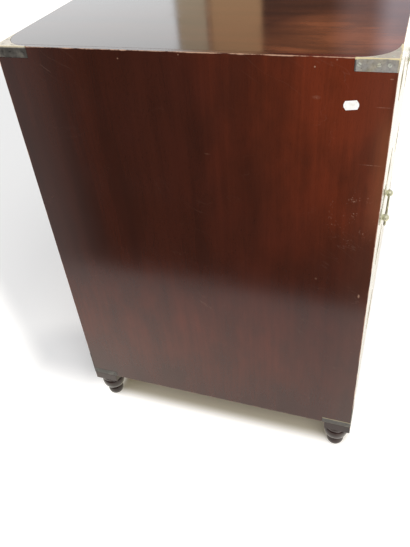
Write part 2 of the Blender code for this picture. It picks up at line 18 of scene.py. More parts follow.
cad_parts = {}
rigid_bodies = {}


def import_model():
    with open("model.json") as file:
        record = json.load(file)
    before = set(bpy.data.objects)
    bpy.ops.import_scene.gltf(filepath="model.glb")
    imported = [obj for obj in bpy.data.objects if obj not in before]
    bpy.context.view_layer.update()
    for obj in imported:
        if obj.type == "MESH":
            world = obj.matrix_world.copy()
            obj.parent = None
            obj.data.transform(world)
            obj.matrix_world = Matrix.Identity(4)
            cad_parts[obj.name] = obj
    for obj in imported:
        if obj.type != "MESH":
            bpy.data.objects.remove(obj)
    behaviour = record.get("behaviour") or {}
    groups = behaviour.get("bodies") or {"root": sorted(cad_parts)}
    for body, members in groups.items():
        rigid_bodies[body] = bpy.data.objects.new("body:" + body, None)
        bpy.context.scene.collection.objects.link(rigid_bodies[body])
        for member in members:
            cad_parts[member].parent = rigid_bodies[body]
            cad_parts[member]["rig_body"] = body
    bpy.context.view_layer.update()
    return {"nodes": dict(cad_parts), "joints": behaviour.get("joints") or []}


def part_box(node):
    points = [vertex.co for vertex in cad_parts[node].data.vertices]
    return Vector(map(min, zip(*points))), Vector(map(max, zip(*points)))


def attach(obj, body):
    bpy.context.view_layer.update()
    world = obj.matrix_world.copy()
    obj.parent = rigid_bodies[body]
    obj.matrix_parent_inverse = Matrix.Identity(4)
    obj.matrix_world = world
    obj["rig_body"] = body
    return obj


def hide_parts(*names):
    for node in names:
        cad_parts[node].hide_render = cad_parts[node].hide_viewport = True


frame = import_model()

# %% [markdown]
# The case is the box of the two sides. Most places below are measured from its faces,
# so they are read from the model once and given names.

# %% The case and its faces
LEFT_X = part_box("side_left")[0].x
RIGHT_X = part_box("side_right")[1].x
FRONT_Y, BACK_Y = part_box("side_left")[0].y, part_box("side_left")[1].y
CASE_BOTTOM, CASE_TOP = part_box("side_left")[0].z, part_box("side_left")[1].z
CASE_LOW = Vector((LEFT_X, FRONT_Y, CASE_BOTTOM))
CASE_HIGH = Vector((RIGHT_X, BACK_Y, CASE_TOP))
CASE_MIDDLE = (CASE_LOW + CASE_HIGH) / 2
HANDS = {"left": -1, "right": 1}
ENDS = {"front": -1, "back": 1}
ROWS = (1, 2, 3, 4)
print("case", [round(value, 4) for value in (*CASE_LOW, *CASE_HIGH)])

# %% [markdown]
# The camera stands where the picture was taken: beside the left end of the chest, a
# little higher than its top, looking down across the side panel. It could be aimed at an
# empty object, but a place, two angles and a roll are easier to fit to a picture. The
# focal length is kept in pixels of the picture, because that is how it was found.

# %% Camera
PICTURE_HEIGHT = 547
FOCAL_PIXELS = 569.0
SENSOR = 36.0
EYE = Vector((-1.3032, -0.3329, 1.2038))
LOOK_AZIMUTH, LOOK_DOWN, ROLL = math.radians(22.57), math.radians(39.65), math.radians(-6.05)
lens = bpy.data.cameras.new("camera")
lens.sensor_width = SENSOR
lens.lens = FOCAL_PIXELS / PICTURE_HEIGHT * SENSOR
camera = bpy.data.objects.new("camera", lens)
level, drop = math.cos(LOOK_DOWN), math.sin(LOOK_DOWN)
ahead = Vector((level * math.cos(LOOK_AZIMUTH), level * math.sin(LOOK_AZIMUTH), -drop))
turn = ahead.to_track_quat("-Z", "Y").to_matrix().to_4x4()
camera.matrix_world = Matrix.Translation(EYE) @ turn @ Matrix.Rotation(ROLL, 4, "Z")
bpy.context.scene.collection.objects.link(camera)
bpy.context.scene.camera = camera
print("lens", round(lens.lens, 2), "mm")

# %% [markdown]
# The finishes are all made of nodes. Pictures could be wrapped round the boards, but
# they blur close up and show seams, so each pattern is worked out at its point in space.
# The helpers add to the tree that was opened last, as the shader editor does, which
# keeps a long sum of nodes short to write. Colours are written as the eye sees them,
# from 0 to 255, and turned into the linear values that a shader wants.

# %% Trees and nodes
def shade(*seen):
    """A colour as seen on a screen, as the linear colour of a shader."""
    linear = [((c / 255 + 0.055) / 1.055) ** 2.4 if c > 10 else c / 255 / 12.92 for c in seen]
    return (*linear, 1.0)


def open_tree(opened):
    """Opens a node tree, so that the helpers add their nodes to it."""
    global tree
    tree = opened
    return opened


def plug(node, wires):
    """Gives a node's inputs, by name or number, a value or an output. Returns its outputs."""
    for socket, value in wires.items():
        if isinstance(value, bpy.types.NodeSocket):
            tree.links.new(value, node.inputs[socket])
        else:
            node.inputs[socket].default_value = value
    return node.outputs


def place(kind, wires=None, **settings):
    """Adds a shader node with its settings and its wires, and returns its outputs."""
    made = tree.nodes.new("ShaderNode" + kind)
    for name, value in settings.items():
        setattr(made, name, value)
    return plug(made, wires or {})


def new_group(name, inputs, outputs):
    """Opens an empty shader group. Returns it, the outlets of its inputs and its output node."""
    group = open_tree(bpy.data.node_groups.new(name, "ShaderNodeTree"))
    for way, sockets in (("INPUT", inputs), ("OUTPUT", outputs)):
        for title, kind in sockets.items():
            group.interface.new_socket(title, in_out=way, socket_type="NodeSocket" + kind)
    return group, group.nodes.new("NodeGroupInput").outputs, group.nodes.new("NodeGroupOutput")


def new_material(name):
    """Opens a new material's tree. Returns the material and its shader."""
    material = bpy.data.materials.new(name)
    material.use_nodes = True
    return material, open_tree(material.node_tree).nodes["Principled BSDF"]


print("a middle grey as a shader's colour", shade(128, 128, 128))

# %% Sums, fades and noises
def sums(operation, *values):
    return place("Math", dict(enumerate(values)), operation=operation)[0]


def less(first, second):
    return sums("SUBTRACT", first, second)


def times(first, *others):
    """The product of two or more values."""
    for other in others:
        first = sums("MULTIPLY", first, other)
    return first


def more(base, share, amount):
    """A base value, and an amount on top of it for the share."""
    return sums("MULTIPLY_ADD", share, amount, base)


def vectors(operation, *values):
    return place("VectorMath", dict(enumerate(values)), operation=operation)[0]


def stretch(vector, *sizes):
    return vectors("MULTIPLY", vector, sizes)


def length(vector):
    return place("VectorMath", {0: vector}, operation="LENGTH")["Value"]


def apart(vector):
    """A vector's x, y and z."""
    return place("SeparateXYZ", {0: vector})


def fade(value, start, end, low=0.0, high=1.0):
    """Goes smoothly from low to high while the value goes from start to end."""
    wires = {0: value, 1: start, 2: end, 3: low, 4: high}
    return place("MapRange", wires, interpolation_type="SMOOTHSTEP")[0]


def blend(share, first, second, how="MIX"):
    return place("Mix", {0: share, 6: first, 7: second}, data_type="RGBA", blend_type=how)[2]


def noise(vector, scale, detail=2.0, roughness=0.5, output=0):
    wires = {"Vector": vector, "Scale": scale, "Detail": detail, "Roughness": roughness}
    return place("TexNoise", wires)[output]


def bump(height, strength, distance):
    return place("Bump", {"Height": height, "Strength": strength, "Distance": distance})[0]


def near_place(spot, middle, reach, full=0.35, high=1.0):
    """High at a place, falling to 0 at a reach that may differ along each axis."""
    scaled = vectors("DIVIDE", vectors("SUBTRACT", spot, middle), reach)
    return fade(length(scaled), full, 1.0, high, 0.0)


print("pattern helpers: sums, fades, blends and noises")

# %% [markdown]
# Wood has its figure at several sizes at once: broad bands along the board, slow patches
# of lighter colour under them, fine fibres that streak both, and short dark pores. One
# wave texture could stand for the grain, but it repeats, so each size is a noise of its
# own, drawn out along Z. Every board turns its own coordinates to suit.

# %% Wood grain group: its noises
GRAIN_WANDER, WANDER_SCALE = (0.035, 0.035, 0.035), 1.9
GRAIN_NOISES = {  # how far its coordinate shrinks along the grain, scale, detail, roughness
    "bands": (0.05, 26, 3, 0.50),
    "streaks": (0.03, 105, 2, 0.55),
    "fibres": (0.025, 420, 3, 0.60),
    "pores": (0.08, 1500, 1, 0.50),
    "patches": (0.22, 7, 3, 0.50),
    "blotches": (0.45, 15, 3, 0.55),
}
wood_grain, given, result = new_group(
    "wood_grain",
    {
        "Place": "Vector", "Dark": "Color", "Middle": "Color", "Light": "Color",
        "Glow": "Float", "Streaks": "Float",
    },
    {"Colour": "Color", "Height": "Float"},
)
wander = noise(given["Place"], WANDER_SCALE, output=1)
wander = vectors("MULTIPLY_ADD", wander, GRAIN_WANDER, given["Place"])
grain = {
    name: noise(stretch(wander, 1.0, 1.0, shrink), scale, detail, roughness)
    for name, (shrink, scale, detail, roughness) in GRAIN_NOISES.items()
}
print("grain noises", len(grain))

# %% [markdown]
# A noise gathers round one half, so its useful part lies between about 0.3 and 0.7. Each
# is spread from there to the change that it makes. The light colour shows through where
# the glow is strong, and the glow itself is patchy, blotchy and streaked, as on boards
# that the sun has faded.

# %% Wood grain group: its colours
NARROW, WIDE = (0.30, 0.70), (0.25, 0.75)
PATCHY, BLOTCHY, STREAK_GLOW = (0.80, 1.02), (0.62, 1.36), 0.15
FIBRE_VALUE, BLOTCH_VALUE, STREAK_VALUE = (0.28, 0.72, 0.955, 1.04), (0.93, 1.07), 0.08
BLOTCH_HUE = (0.501, 0.499)
PORE_SPAN, PORE_DARK, PORE_DEEP, FIBRE_HIGH = (0.58, 0.72), 0.22, -0.6, 0.5
streaked = times(fade(grain["streaks"], *WIDE, -1.0, 1.0), given["Streaks"])
patchy = fade(grain["patches"], *WIDE, *PATCHY)
blotchy = fade(grain["blotches"], *NARROW, *BLOTCHY)
glow = times(patchy, given["Glow"], blotchy, more(1.0, streaked, STREAK_GLOW))
banded = blend(fade(grain["bands"], *NARROW), given["Dark"], given["Middle"])
value = times(
    fade(grain["fibres"], *FIBRE_VALUE),
    more(1.0, streaked, STREAK_VALUE),
    fade(grain["blotches"], *NARROW, *BLOTCH_VALUE),
)
hue = fade(grain["blotches"], *NARROW, *BLOTCH_HUE)
lit = blend(glow, banded, given["Light"])
lit = place("HueSaturation", {"Hue": hue, "Value": value, "Color": lit})[0]
pore = fade(grain["pores"], *PORE_SPAN)
pored = blend(times(pore, PORE_DARK), lit, given["Dark"], how="MULTIPLY")
plug(result, {"Colour": pored, "Height": more(times(grain["fibres"], FIBRE_HIGH), pore, PORE_DEEP)})
print("wood_grain nodes", len(wood_grain.nodes))

# %% [markdown]
# Hands, cloths and other furniture rub the outer edges of the case pale. The wear could
# be painted by hand, but then a moved edge would leave it behind. A point is on an edge
# of a box when it is near two of its faces at once, so the distance that matters is the
# second smallest of the three distances to the faces. A little noise makes it uneven.

# %% Edge wear group
RAGGED_SCALE, RAGGED_SPAN = 38, (0.32, 0.72, 0.25, 1.5)
WEAR_FALL = (0.35, 1.0, 1.0, 0.0)
edge_wear, given, result = new_group(
    "edge_wear",
    {"Place": "Vector", "Low": "Vector", "High": "Vector", "Width": "Float"},
    {"Wear": "Float"},
)
from_low = vectors("SUBTRACT", given["Place"], given["Low"])
from_high = vectors("SUBTRACT", given["High"], given["Place"])
near = apart(vectors("ABSOLUTE", vectors("MINIMUM", from_low, from_high)))
lower = sums("MINIMUM", near[0], near[1])
upper = sums("MAXIMUM", near[0], near[1])
second = sums("MAXIMUM", lower, sums("MINIMUM", upper, near[2]))
ragged = fade(noise(given["Place"], RAGGED_SCALE, detail=4, roughness=0.65), *RAGGED_SPAN)
share = sums("DIVIDE", second, times(ragged, given["Width"]))
plug(result, {"Wear": fade(share, *WEAR_FALL)})
print("edge_wear nodes", len(edge_wear.nodes))

# %% [markdown]
# Old polish is never even. It has cloudy places where hands and dusters go, and hair
# scratches in all directions. Scratches could be modelled as grooves, but they are finer
# than any mesh should be. Here a scratch is the thin line where a stretched noise
# crosses its middle value, kept only where a second noise is high.

# %% Handling group
CLOUD_SCALE, CLOUD_SPAN = 7, (0.35, 0.75)
SCRATCH_SETS, SCRATCH_TURNS = ((0.4, 34), (1.9, 27)), (1.0, 0.7, 1.3)
SCRATCH_WIDTH, SCRATCH_STRETCH = 0.0045, 0.12
SCRATCH_PATCHES, SCRATCH_PATCH_SPAN = 9, (0.56, 0.70)
handling, given, result = new_group(
    "handling", {"Place": "Vector"}, {"Cloud": "Float", "Scratch": "Float"}
)
cloud = fade(noise(given["Place"], CLOUD_SCALE, detail=4, roughness=0.6), *CLOUD_SPAN)
scratch = 0.0
for turn, scale in SCRATCH_SETS:
    rotation = [turn * share for share in SCRATCH_TURNS]
    turned = place("Mapping", {"Vector": given["Place"], "Rotation": rotation})[0]
    crossing = less(noise(stretch(turned, 1.0, SCRATCH_STRETCH, 1.0), scale, 3), 0.5)
    line = fade(sums("ABSOLUTE", crossing), 0.0, SCRATCH_WIDTH, 1.0, 0.0)
    patch = fade(noise(turned, SCRATCH_PATCHES, detail=3), *SCRATCH_PATCH_SPAN)
    scratch = sums("MAXIMUM", scratch, times(line, patch))
plug(result, {"Cloud": cloud, "Scratch": scratch})
print("handling nodes", len(handling.nodes))

# %% [markdown]
# The sides turn lighter and redder towards the front and top. Near the floor they are
# lightened more weakly by a painted bounce light from the white floor. The glow of the
# grain follows from the point's depth and height in the case. A weight painted on the
# mesh would do as well, but this one keeps its place when the mesh changes. Each span
# says where a change starts and ends, and what it goes from and to.

# %% Where the wood is lighter, and where bounce light from the floor is painted
LIGHTER_DEPTH, LIGHTER_HEIGHT = (0.08, -0.31), (0.34, 1.0, 0.05, 1.28)
PAINTED_BOUNCE_TOP, PAINTED_BOUNCE_FOOT = (0.56, 0.34, 0.0, 0.44), (CASE_BOTTOM, 0.28, 0.45, 1.0)
PAINTED_BOUNCE_DEPTH = (-0.30, -0.08, 0.62, 1.0)


def lightening_with_painted_bounce(where):
    """How much of the wood's light colour shows: more to the front and top, plus a painted bounce
    light low down.
    """
    high = times(fade(where[1], *LIGHTER_DEPTH), fade(where[2], *LIGHTER_HEIGHT))
    # The low share is a painted bounce light: the white floor lights the lower side, and that light
    # is painted into the colour.
    low = times(fade(where[2], *PAINTED_BOUNCE_TOP), fade(where[2], *PAINTED_BOUNCE_FOOT))
    return sums("MAXIMUM", high, times(low, fade(where[1], *PAINTED_BOUNCE_DEPTH)))


print("faded from depth", LIGHTER_DEPTH[0], "to", LIGHTER_DEPTH[1])

# %% [markdown]
# The near side has its own history: nail holes and knocks, a stretch of front edge that
# hands have bleached, and a cloud of tiny scuffs beside the handle. Each knock is a soft
# ellipse at its place on the side, and the scuffs are a noise that shows only near their
# middle. Cuts in the mesh would be too shallow to see.

# %% Marks of use on the side
WORN_WOOD, BLEACHED_WOOD = shade(196, 156, 130), shade(142, 90, 58)
THIN_POLISH, THIN_DEPTH = shade(150, 118, 100), (-0.24, FRONT_Y, 0.0, 0.05)
SIDE_MARKS = [  # y, z, half of its size along each, and its strength
    (0.105, 0.907, 0.0016, 0.0016, 0.55),
    (0.003, 0.916, 0.0015, 0.0013, 0.55),
    (-0.201, 0.906, 0.0018, 0.0018, 0.55),
    (-0.231, 0.917, 0.0015, 0.0013, 0.55),
    (-0.306, 0.893, 0.0030, 0.0009, 0.5),
    (-0.205, 0.862, 0.0080, 0.0040, 0.12),
    (-0.219, 0.521, 0.0030, 0.0030, 0.20),
    (-0.297, 0.494, 0.0024, 0.0058, 0.55),
    (-0.300, 0.852, 0.0140, 0.0008, 0.24),
    (-0.292, 0.760, 0.0210, 0.0008, 0.24),
    (-0.029, 0.755, 0.0070, 0.0009, 0.15),
]
MARK_RAGGED, MARK_SPAN, MARK_FULL, ANY_X = 520, (0.30, 0.60), 0.3, 1000.0
SCUFFED = ((LEFT_X, -0.272, 0.655), (0.05, 0.046, 0.070))
SCUFF_SPECKS, SPECK_SPAN, SCUFF_STRENGTH = 330, (0.60, 0.70), 0.62
SCUFF_CLEARINGS, CLEARING_SPAN = 60, (0.45, 0.62)
BLEACHED_DEPTH = (FRONT_Y + 0.030, FRONT_Y + 0.002)
BLEACHED_FROM, BLEACHED_TO = (0.60, 0.69), (0.86, 0.80, 0.0, 0.26)


def side_history(colour, spot, where):
    """The side's marks, thin polish, bleached edge and scuffs, laid over its colour."""
    marks = 0.0
    for y, z, half_y, half_z, strength in SIDE_MARKS:
        mark = near_place(spot, (0.0, y, z), (ANY_X, half_y, half_z), MARK_FULL, strength)
        marks = sums("MAXIMUM", marks, mark)
    marks = times(marks, fade(noise(spot, MARK_RAGGED, detail=3, roughness=0.7), *MARK_SPAN))
    colour = blend(marks, colour, WORN_WOOD)
    colour = blend(fade(where[1], *THIN_DEPTH), colour, THIN_POLISH)
    bleached = times(fade(where[1], *BLEACHED_DEPTH), fade(where[2], *BLEACHED_FROM))
    colour = blend(times(bleached, fade(where[2], *BLEACHED_TO)), colour, BLEACHED_WOOD)
    specks = fade(noise(spot, SCUFF_SPECKS, roughness=0.6), *SPECK_SPAN)
    specks = times(specks, fade(noise(spot, SCUFF_CLEARINGS), *CLEARING_SPAN))
    scuffs = times(specks, near_place(spot, *SCUFFED), SCUFF_STRENGTH)
    return blend(scuffs, colour, WORN_WOOD)


print("marks on the side", len(SIDE_MARKS))

# %% [markdown]
# Polished mahogany is dark red-brown under a clear, smooth film. A second coat on the
# shader could be that film, but the ordinary reflection of a smooth surface already
# looks the same, so the shader is plain wood colour with a low roughness. The film is
# thin over the pores, which a faint bump shows. Worn edges lose it and turn pale.

# %% Mahogany
GRAIN_TURNS = {
    "X": (0.0, math.radians(90), 0.0), "Y": (math.radians(90), 0.0, 0.0), "Z": (0.0, 0.0, 0.0)
}
SIDE_COLOURS = {"Dark": shade(49, 21, 13), "Middle": shade(58, 25, 15), "Light": shade(98, 39, 18)}
SIDE_STREAKS, BOARD_SHIFT = 0.50, (1.0, 0.7, 0.3)
EDGE_PALE, SCRATCH_PALE = 0.8, 0.06
CLOUD_ROUGH, EDGE_ROUGH, SCRATCH_ROUGH = 0.05, 0.10, 0.10
FILM_BUMP = (0.05, 0.0003)


def turned_grain(spot, axis, shift):
    """Coordinates whose Z runs along the grain, moved so that no two boards are alike."""
    return place("Mapping", {"Vector": spot, "Rotation": GRAIN_TURNS[axis], "Location": shift})[0]


def mahogany(
    name, axis, box=(CASE_LOW, CASE_HIGH), offset=0.0, lightening=1.0, roughness=0.13, wear=0.0015,
    colours=SIDE_COLOURS, streaks=SIDE_STREAKS, patch=None, history=False,
):
    """Polished mahogany with its grain along one axis, worn along the edges of a box."""
    material, shader = new_material(name)
    spot = place("TexCoord")["Object"]
    where = apart(spot)
    # The glow includes the painted bounce light from the floor near the foot.
    glow = times(lightening_with_painted_bounce(where), lightening)
    if patch:
        glow = sums("MAXIMUM", glow, near_place(spot, *patch))
    turned = turned_grain(spot, axis, [offset * share for share in BOARD_SHIFT])
    wires = {"Place": turned, "Glow": glow, "Streaks": streaks, **colours}
    made = place("Group", wires, node_tree=wood_grain)
    wires = {"Place": spot, "Low": box[0], "High": box[1], "Width": wear}
    worn = place("Group", wires, node_tree=edge_wear)["Wear"]
    handled = place("Group", {"Place": spot}, node_tree=handling)
    colour = blend(times(worn, EDGE_PALE), made["Colour"], WORN_WOOD)
    colour = blend(times(handled["Scratch"], SCRATCH_PALE), colour, WORN_WOOD)
    if history:
        colour = side_history(colour, spot, where)
    rough = more(more(roughness, handled["Cloud"], CLOUD_ROUGH), worn, EDGE_ROUGH)
    rough = more(rough, handled["Scratch"], SCRATCH_ROUGH)
    normal = bump(made["Height"], *FILM_BUMP)
    plug(shader, {"Base Color": colour, "Roughness": rough, "Normal": normal})
    return material


print("mahogany can turn its grain along", list(GRAIN_TURNS))

# %% [markdown]
# Brass that nobody polishes goes a dull grey-green, and stays yellow only where it is
# touched. It could be one metal colour with a rough map, but the dull film isn't metal
# any more. The patina group mixes the clean and the dull colour in soft clouds, adds
# small dark spots, and gives the roughness and the share of metal that go with them.

# %% Patina group
CLOUDS, CLOUDS_ROUGHNESS = 60, 0.62
DULL_SPAN, DIRT_SPAN = (0.20, 0.60, 0.70, 1.0), (0.25, 0.55, 0.75, 1.0)
SPECKS, SPECKS_SPAN, SPECK_DARK, SPECK_ROUGH, SPECK_DEEP = 420, (0.60, 0.72), 0.5, 0.15, -0.5
BRUSHES, BRUSH_STRETCH = 900, (0.15, 0.15, 1.0)
BLOTS, BLOT_VALUE = 150, (0.30, 0.70, 0.80, 1.16)
BARE_ROUGHNESS, DULL_ROUGH, DULL_METAL, DIRT_METAL = 0.24, 0.22, -0.65, -0.8
patina, given, result = new_group(
    "patina",
    {
        "Place": "Vector", "Clean": "Color", "Dull": "Color", "Grime": "Color",
        "Age": "Float", "Dirt": "Float",
    },
    {"Colour": "Color", "Roughness": "Float", "Metal": "Float", "Height": "Float"},
)
clouds = noise(given["Place"], CLOUDS, detail=5, roughness=CLOUDS_ROUGHNESS)
dulled = times(fade(clouds, *DULL_SPAN), given["Age"])
dirty = times(fade(clouds, *DIRT_SPAN), given["Dirt"])
specks = fade(noise(given["Place"], SPECKS, detail=3, roughness=0.6), *SPECKS_SPAN)
brushed = noise(stretch(given["Place"], *BRUSH_STRETCH), BRUSHES)
tinted = blend(dirty, blend(dulled, given["Clean"], given["Dull"]), given["Grime"])
blotted = fade(noise(given["Place"], BLOTS, detail=3, roughness=0.6), *BLOT_VALUE)
tinted = place("HueSaturation", {"Value": blotted, "Color": tinted})[0]
plug(result, {
    "Colour": blend(times(specks, SPECK_DARK), tinted, given["Grime"]),
    "Roughness": more(more(BARE_ROUGHNESS, dulled, DULL_ROUGH), specks, SPECK_ROUGH),
    "Metal": times(more(1.0, dulled, DULL_METAL), more(1.0, dirty, DIRT_METAL)),
    "Height": more(brushed, specks, SPECK_DEEP),
})
print("patina nodes", len(patina.nodes))

# %% [markdown]
# The front top corners are handled every day. The back ones stand against a wall and the
# lower ones are kicked and mopped, so their straps are brown with old dirt. Each corner
# could have its own brass, but one finish that knows where it is serves all eight: how
# dirty a place is follows from how far back and how low it is.

# %% Where the brass is dirty, where it is worn, and where a highlight is painted on it
STRAP_LOW, STRAP_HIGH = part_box("corner_top_front_left")
STRAP_LENGTH = STRAP_HIGH.y - STRAP_LOW.y
DIRTY_DEPTH, DIRTY_HEIGHT = (-0.10, 0.20), (0.75, 0.25, 0.0, 0.91)
BELOW_TOP = (CASE_TOP - 0.0010, CASE_TOP - 0.0035)
JOINT_SPAN = (STRAP_LENGTH - 0.0030, STRAP_LENGTH - 0.0012)
JOINT_HEIGHT = (CASE_TOP - 0.0260, CASE_TOP - 0.0240, 0.0, 0.8)
LOWER_STRAP_TOP, HIGHLIGHT_HEIGHT = CASE_BOTTOM + 0.0155, 0.0019
HIGHLIGHT_FROM = (LOWER_STRAP_TOP - HIGHLIGHT_HEIGHT, LOWER_STRAP_TOP - HIGHLIGHT_HEIGHT * 0.5)
HIGHLIGHT_TO = (LOWER_STRAP_TOP + 0.0004, LOWER_STRAP_TOP + 0.0010, 0.42, 0.0)
HIGHLIGHT_DEPTH, OUTER_SKIN = (0.05, -0.15), (RIGHT_X - 0.0009, RIGHT_X - 0.0003)


def dirt_by_place(where):
    """More dirt towards the back and the floor, but none on top of the case."""
    dirt = sums("MAXIMUM", fade(where[1], *DIRTY_DEPTH), fade(where[2], *DIRTY_HEIGHT))
    return times(dirt, fade(where[2], *BELOW_TOP))


def strap_end(where):
    """The dark joint at the inner end of the upper straps."""
    from_end = sums("MINIMUM", less(where[1], FRONT_Y), less(BACK_Y, where[1]))
    joint = fade(from_end, *JOINT_SPAN)
    return times(joint, fade(where[2], *JOINT_HEIGHT))


def painted_edge_highlight(where):
    """A painted highlight: the bright line that the bevel along the upper edge of the lower straps
    would catch.
    """
    line = times(fade(where[2], *HIGHLIGHT_FROM), fade(where[2], *HIGHLIGHT_TO))
    outer = fade(sums("ABSOLUTE", where[0]), *OUTER_SKIN)
    return times(line, fade(where[1], *HIGHLIGHT_DEPTH), outer)


print("strap length", round(STRAP_LENGTH, 4))

# %% [markdown]
# With those masks, a brass is made from its age and its dull colour. Handles that
# fingers polish stay yellower. The screws of the front top corners and the roses of the
# bail handles get a very pale dull colour instead: a painted highlight that stands for
# the bright room they would mirror. So each kind of piece has its own dull colour on the
# same patina.

# %% Brass
CLEAN_BRASS, DULL_BRASS = shade(240, 222, 168), shade(166, 161, 155)
BRASS_GRIME, TOP_REFLECTION_BRASS = shade(66, 62, 56), shade(214, 203, 184)
TOP_REFLECTION_SPAN = (CASE_TOP - 0.0012, CASE_TOP - 0.0004, 0.0, 0.6)
RUBBED_HEIGHT = (CASE_TOP - 0.010, CASE_TOP - 0.002, 0.35, 1.0)
RUBBED_DEPTH = (0.0, 0.25, 1.0, 0.42)
RUBBED_WIDTH, WORN_AND_HIGHLIT_CLEAN, WORN_AND_HIGHLIT_ROUGH, WORN_AND_HIGHLIT_METAL = 0.0030, 0.85, -0.12, -0.6
BRUSHED_BUMP = (0.12, 0.0002)


def brass(name, age, dull=DULL_BRASS, dirty=False):
    """Brass of a given age, worn yellow along the case's edges; corners add a painted top
    reflection and edge highlight.
    """
    material, shader = new_material(name)
    spot = place("TexCoord")["Object"]
    where = apart(spot)
    dirt = dirt_by_place(where) if dirty else 0.0
    wires = {"Place": spot, "Age": age, "Dirt": dirt}
    wires.update(Clean=CLEAN_BRASS, Dull=dull, Grime=BRASS_GRIME)
    aged = place("Group", wires, node_tree=patina)
    wires = {"Place": spot, "Low": CASE_LOW, "High": CASE_HIGH, "Width": RUBBED_WIDTH}
    rubbed_and_highlit = times(place("Group", wires, node_tree=edge_wear)["Wear"], less(1.0, dirt))
    colour = aged["Colour"]
    if dirty:
        # The tops of the upper corners are painted paler: a painted reflection of the bright room
        # above the chest.
        colour = blend(fade(where[2], *TOP_REFLECTION_SPAN), colour, TOP_REFLECTION_BRASS)
        colour = blend(strap_end(where), colour, BRASS_GRIME)
        rubbed_and_highlit = times(rubbed_and_highlit, fade(where[2], *RUBBED_HEIGHT), fade(where[1], *RUBBED_DEPTH))
        # A painted highlight along the upper edge of the lower straps joins the worn edges.
        rubbed_and_highlit = sums("MAXIMUM", rubbed_and_highlit, painted_edge_highlight(where))
    plug(shader, {
        "Base Color": blend(times(rubbed_and_highlit, WORN_AND_HIGHLIT_CLEAN), colour, CLEAN_BRASS),
        "Roughness": more(aged["Roughness"], rubbed_and_highlit, WORN_AND_HIGHLIT_ROUGH),
        "Metallic": times(aged["Metal"], more(1.0, rubbed_and_highlit, WORN_AND_HIGHLIT_METAL)),
        "Normal": bump(aged["Height"], *BRUSHED_BUMP),
    })
    return material


CORNER_BRASS = brass("corner_brass", 1.0, dirty=True)
HANDLE_BRASS = brass("handle_brass", 0.80, shade(122, 114, 82))
# Very pale brass for the front top screws: a painted glint where the light catches them.
GLINT_SCREW_BRASS = brass("screw_brass_painted_glint", 1.0, shade(202, 203, 190))
# Very pale brass for the roses and balls: a painted sheen of the bright room they would mirror.
SHEEN_ROSE_BRASS = brass("rose_brass_painted_sheen", 0.98, shade(214, 213, 184))
BAR_BRASS = brass("bar_brass", 0.98, shade(176, 174, 146))
DARK_BRASS = brass("dark_brass", 1.0, shade(124, 118, 92))
print("brasses", [material.name for material in bpy.data.materials if "brass" in material.name])

# %% [markdown]
# Inside, the drawers are plain planed wood that has never been polished: pale brown, dry,
# and a little dirty. It could have a shader of its own, but the same grain group serves,
# with other colours, a rough surface and a stronger bump.

# %% Drawer wood
DRAWER_COLOURS = {
    "Dark": shade(112, 76, 48), "Middle": shade(156, 114, 76), "Light": shade(178, 138, 96)
}
DRAWER_GRIME, GRIME_SHARE = shade(86, 62, 44), 0.35
DRAWER_GLOW, DRAWER_STREAKS = 0.7, 1.0
DRAWER_ROUGHNESS, GRIME_ROUGH, DRAWER_BUMP = 0.6, 0.1, (0.35, 0.0006)


def drawer_wood(name, axis, offset):
    """Unpolished wood with its grain along one axis."""
    material, shader = new_material(name)
    spot = place("TexCoord")["Object"]
    turned = turned_grain(spot, axis, (offset, offset, 0.0))
    wires = {"Place": turned, "Glow": DRAWER_GLOW, "Streaks": DRAWER_STREAKS, **DRAWER_COLOURS}
    made = place("Group", wires, node_tree=wood_grain)
    grime = place("Group", {"Place": spot}, node_tree=handling)["Cloud"]
    plug(shader, {
        "Base Color": blend(times(grime, GRIME_SHARE), made["Colour"], DRAWER_GRIME),
        "Roughness": more(DRAWER_ROUGHNESS, grime, GRIME_ROUGH),
        "Normal": bump(made["Height"], *DRAWER_BUMP),
    })
    return material


print("drawer wood colours", len(DRAWER_COLOURS))

# %% [markdown]
# Every new piece is finished the same way. Its bmesh becomes a mesh that is smooth but
# for its real edges, and its object rides on the body that carries it. Smooth shading
# alone would make the flat faces look pillowy beside their small bevels, so the normals
# are weighted by the faces' size.

# %% Piece helpers
SHARP_ANGLE = math.radians(50)


def shade_flats(piece):
    """Smooth shading that keeps sharp edges sharp and lets the large flat faces stay flat."""
    piece.data.shade_smooth()
    piece.data.set_sharp_from_angle(angle=SHARP_ANGLE)
    step = piece.modifiers.new("flat_faces", "WEIGHTED_NORMAL")
    step.keep_sharp = True
    return piece


def linked_object(name, shape):
    """An object with a shape as its mesh. The shape is used up."""
    mesh = bpy.data.meshes.new(name)
    shape.to_mesh(mesh)
    shape.free()
    made = bpy.data.objects.new(name, mesh)
    bpy.context.scene.collection.objects.link(made)
    return made


def add_object(name, shape, material):
    made = linked_object(name, shape)
    made.data.materials.append(material)
    return shade_flats(made)


def stand_for(piece, node):
    """A piece takes the place and the body of a node, whose own mesh is hidden."""
    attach(piece, frame["nodes"][node]["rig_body"])
    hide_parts(node)


print("edges stay sharp from", round(math.degrees(SHARP_ANGLE)), "degrees")

# %% [markdown]
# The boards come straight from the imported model. A real board never has a razor edge. A
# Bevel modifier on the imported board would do, but that mesh is loose triangles, whose
# inner edges must go first. So each board is copied, welded, freed of the edges inside
# its flat faces, and given a small bevel that catches the light.

# %% Eased boards
EDGE_ANGLE, FLAT_ANGLE = math.radians(32), math.radians(1)
WELD = 0.00001


def ease(shape, geom, width, segments, affect="EDGES"):
    """Bevels edges or corners, with each setting that differs from the editor's written out."""
    bmesh.ops.bevel(
        shape, geom=list(geom), offset=width, offset_type="OFFSET", segments=segments,
        profile=0.5, affect=affect, material=-1, clamp_overlap=True,
    )


def sharp_edges(shape):
    joined = [edge for edge in shape.edges if edge.is_manifold]
    return [edge for edge in joined if edge.calc_face_angle(0.0) > EDGE_ANGLE]


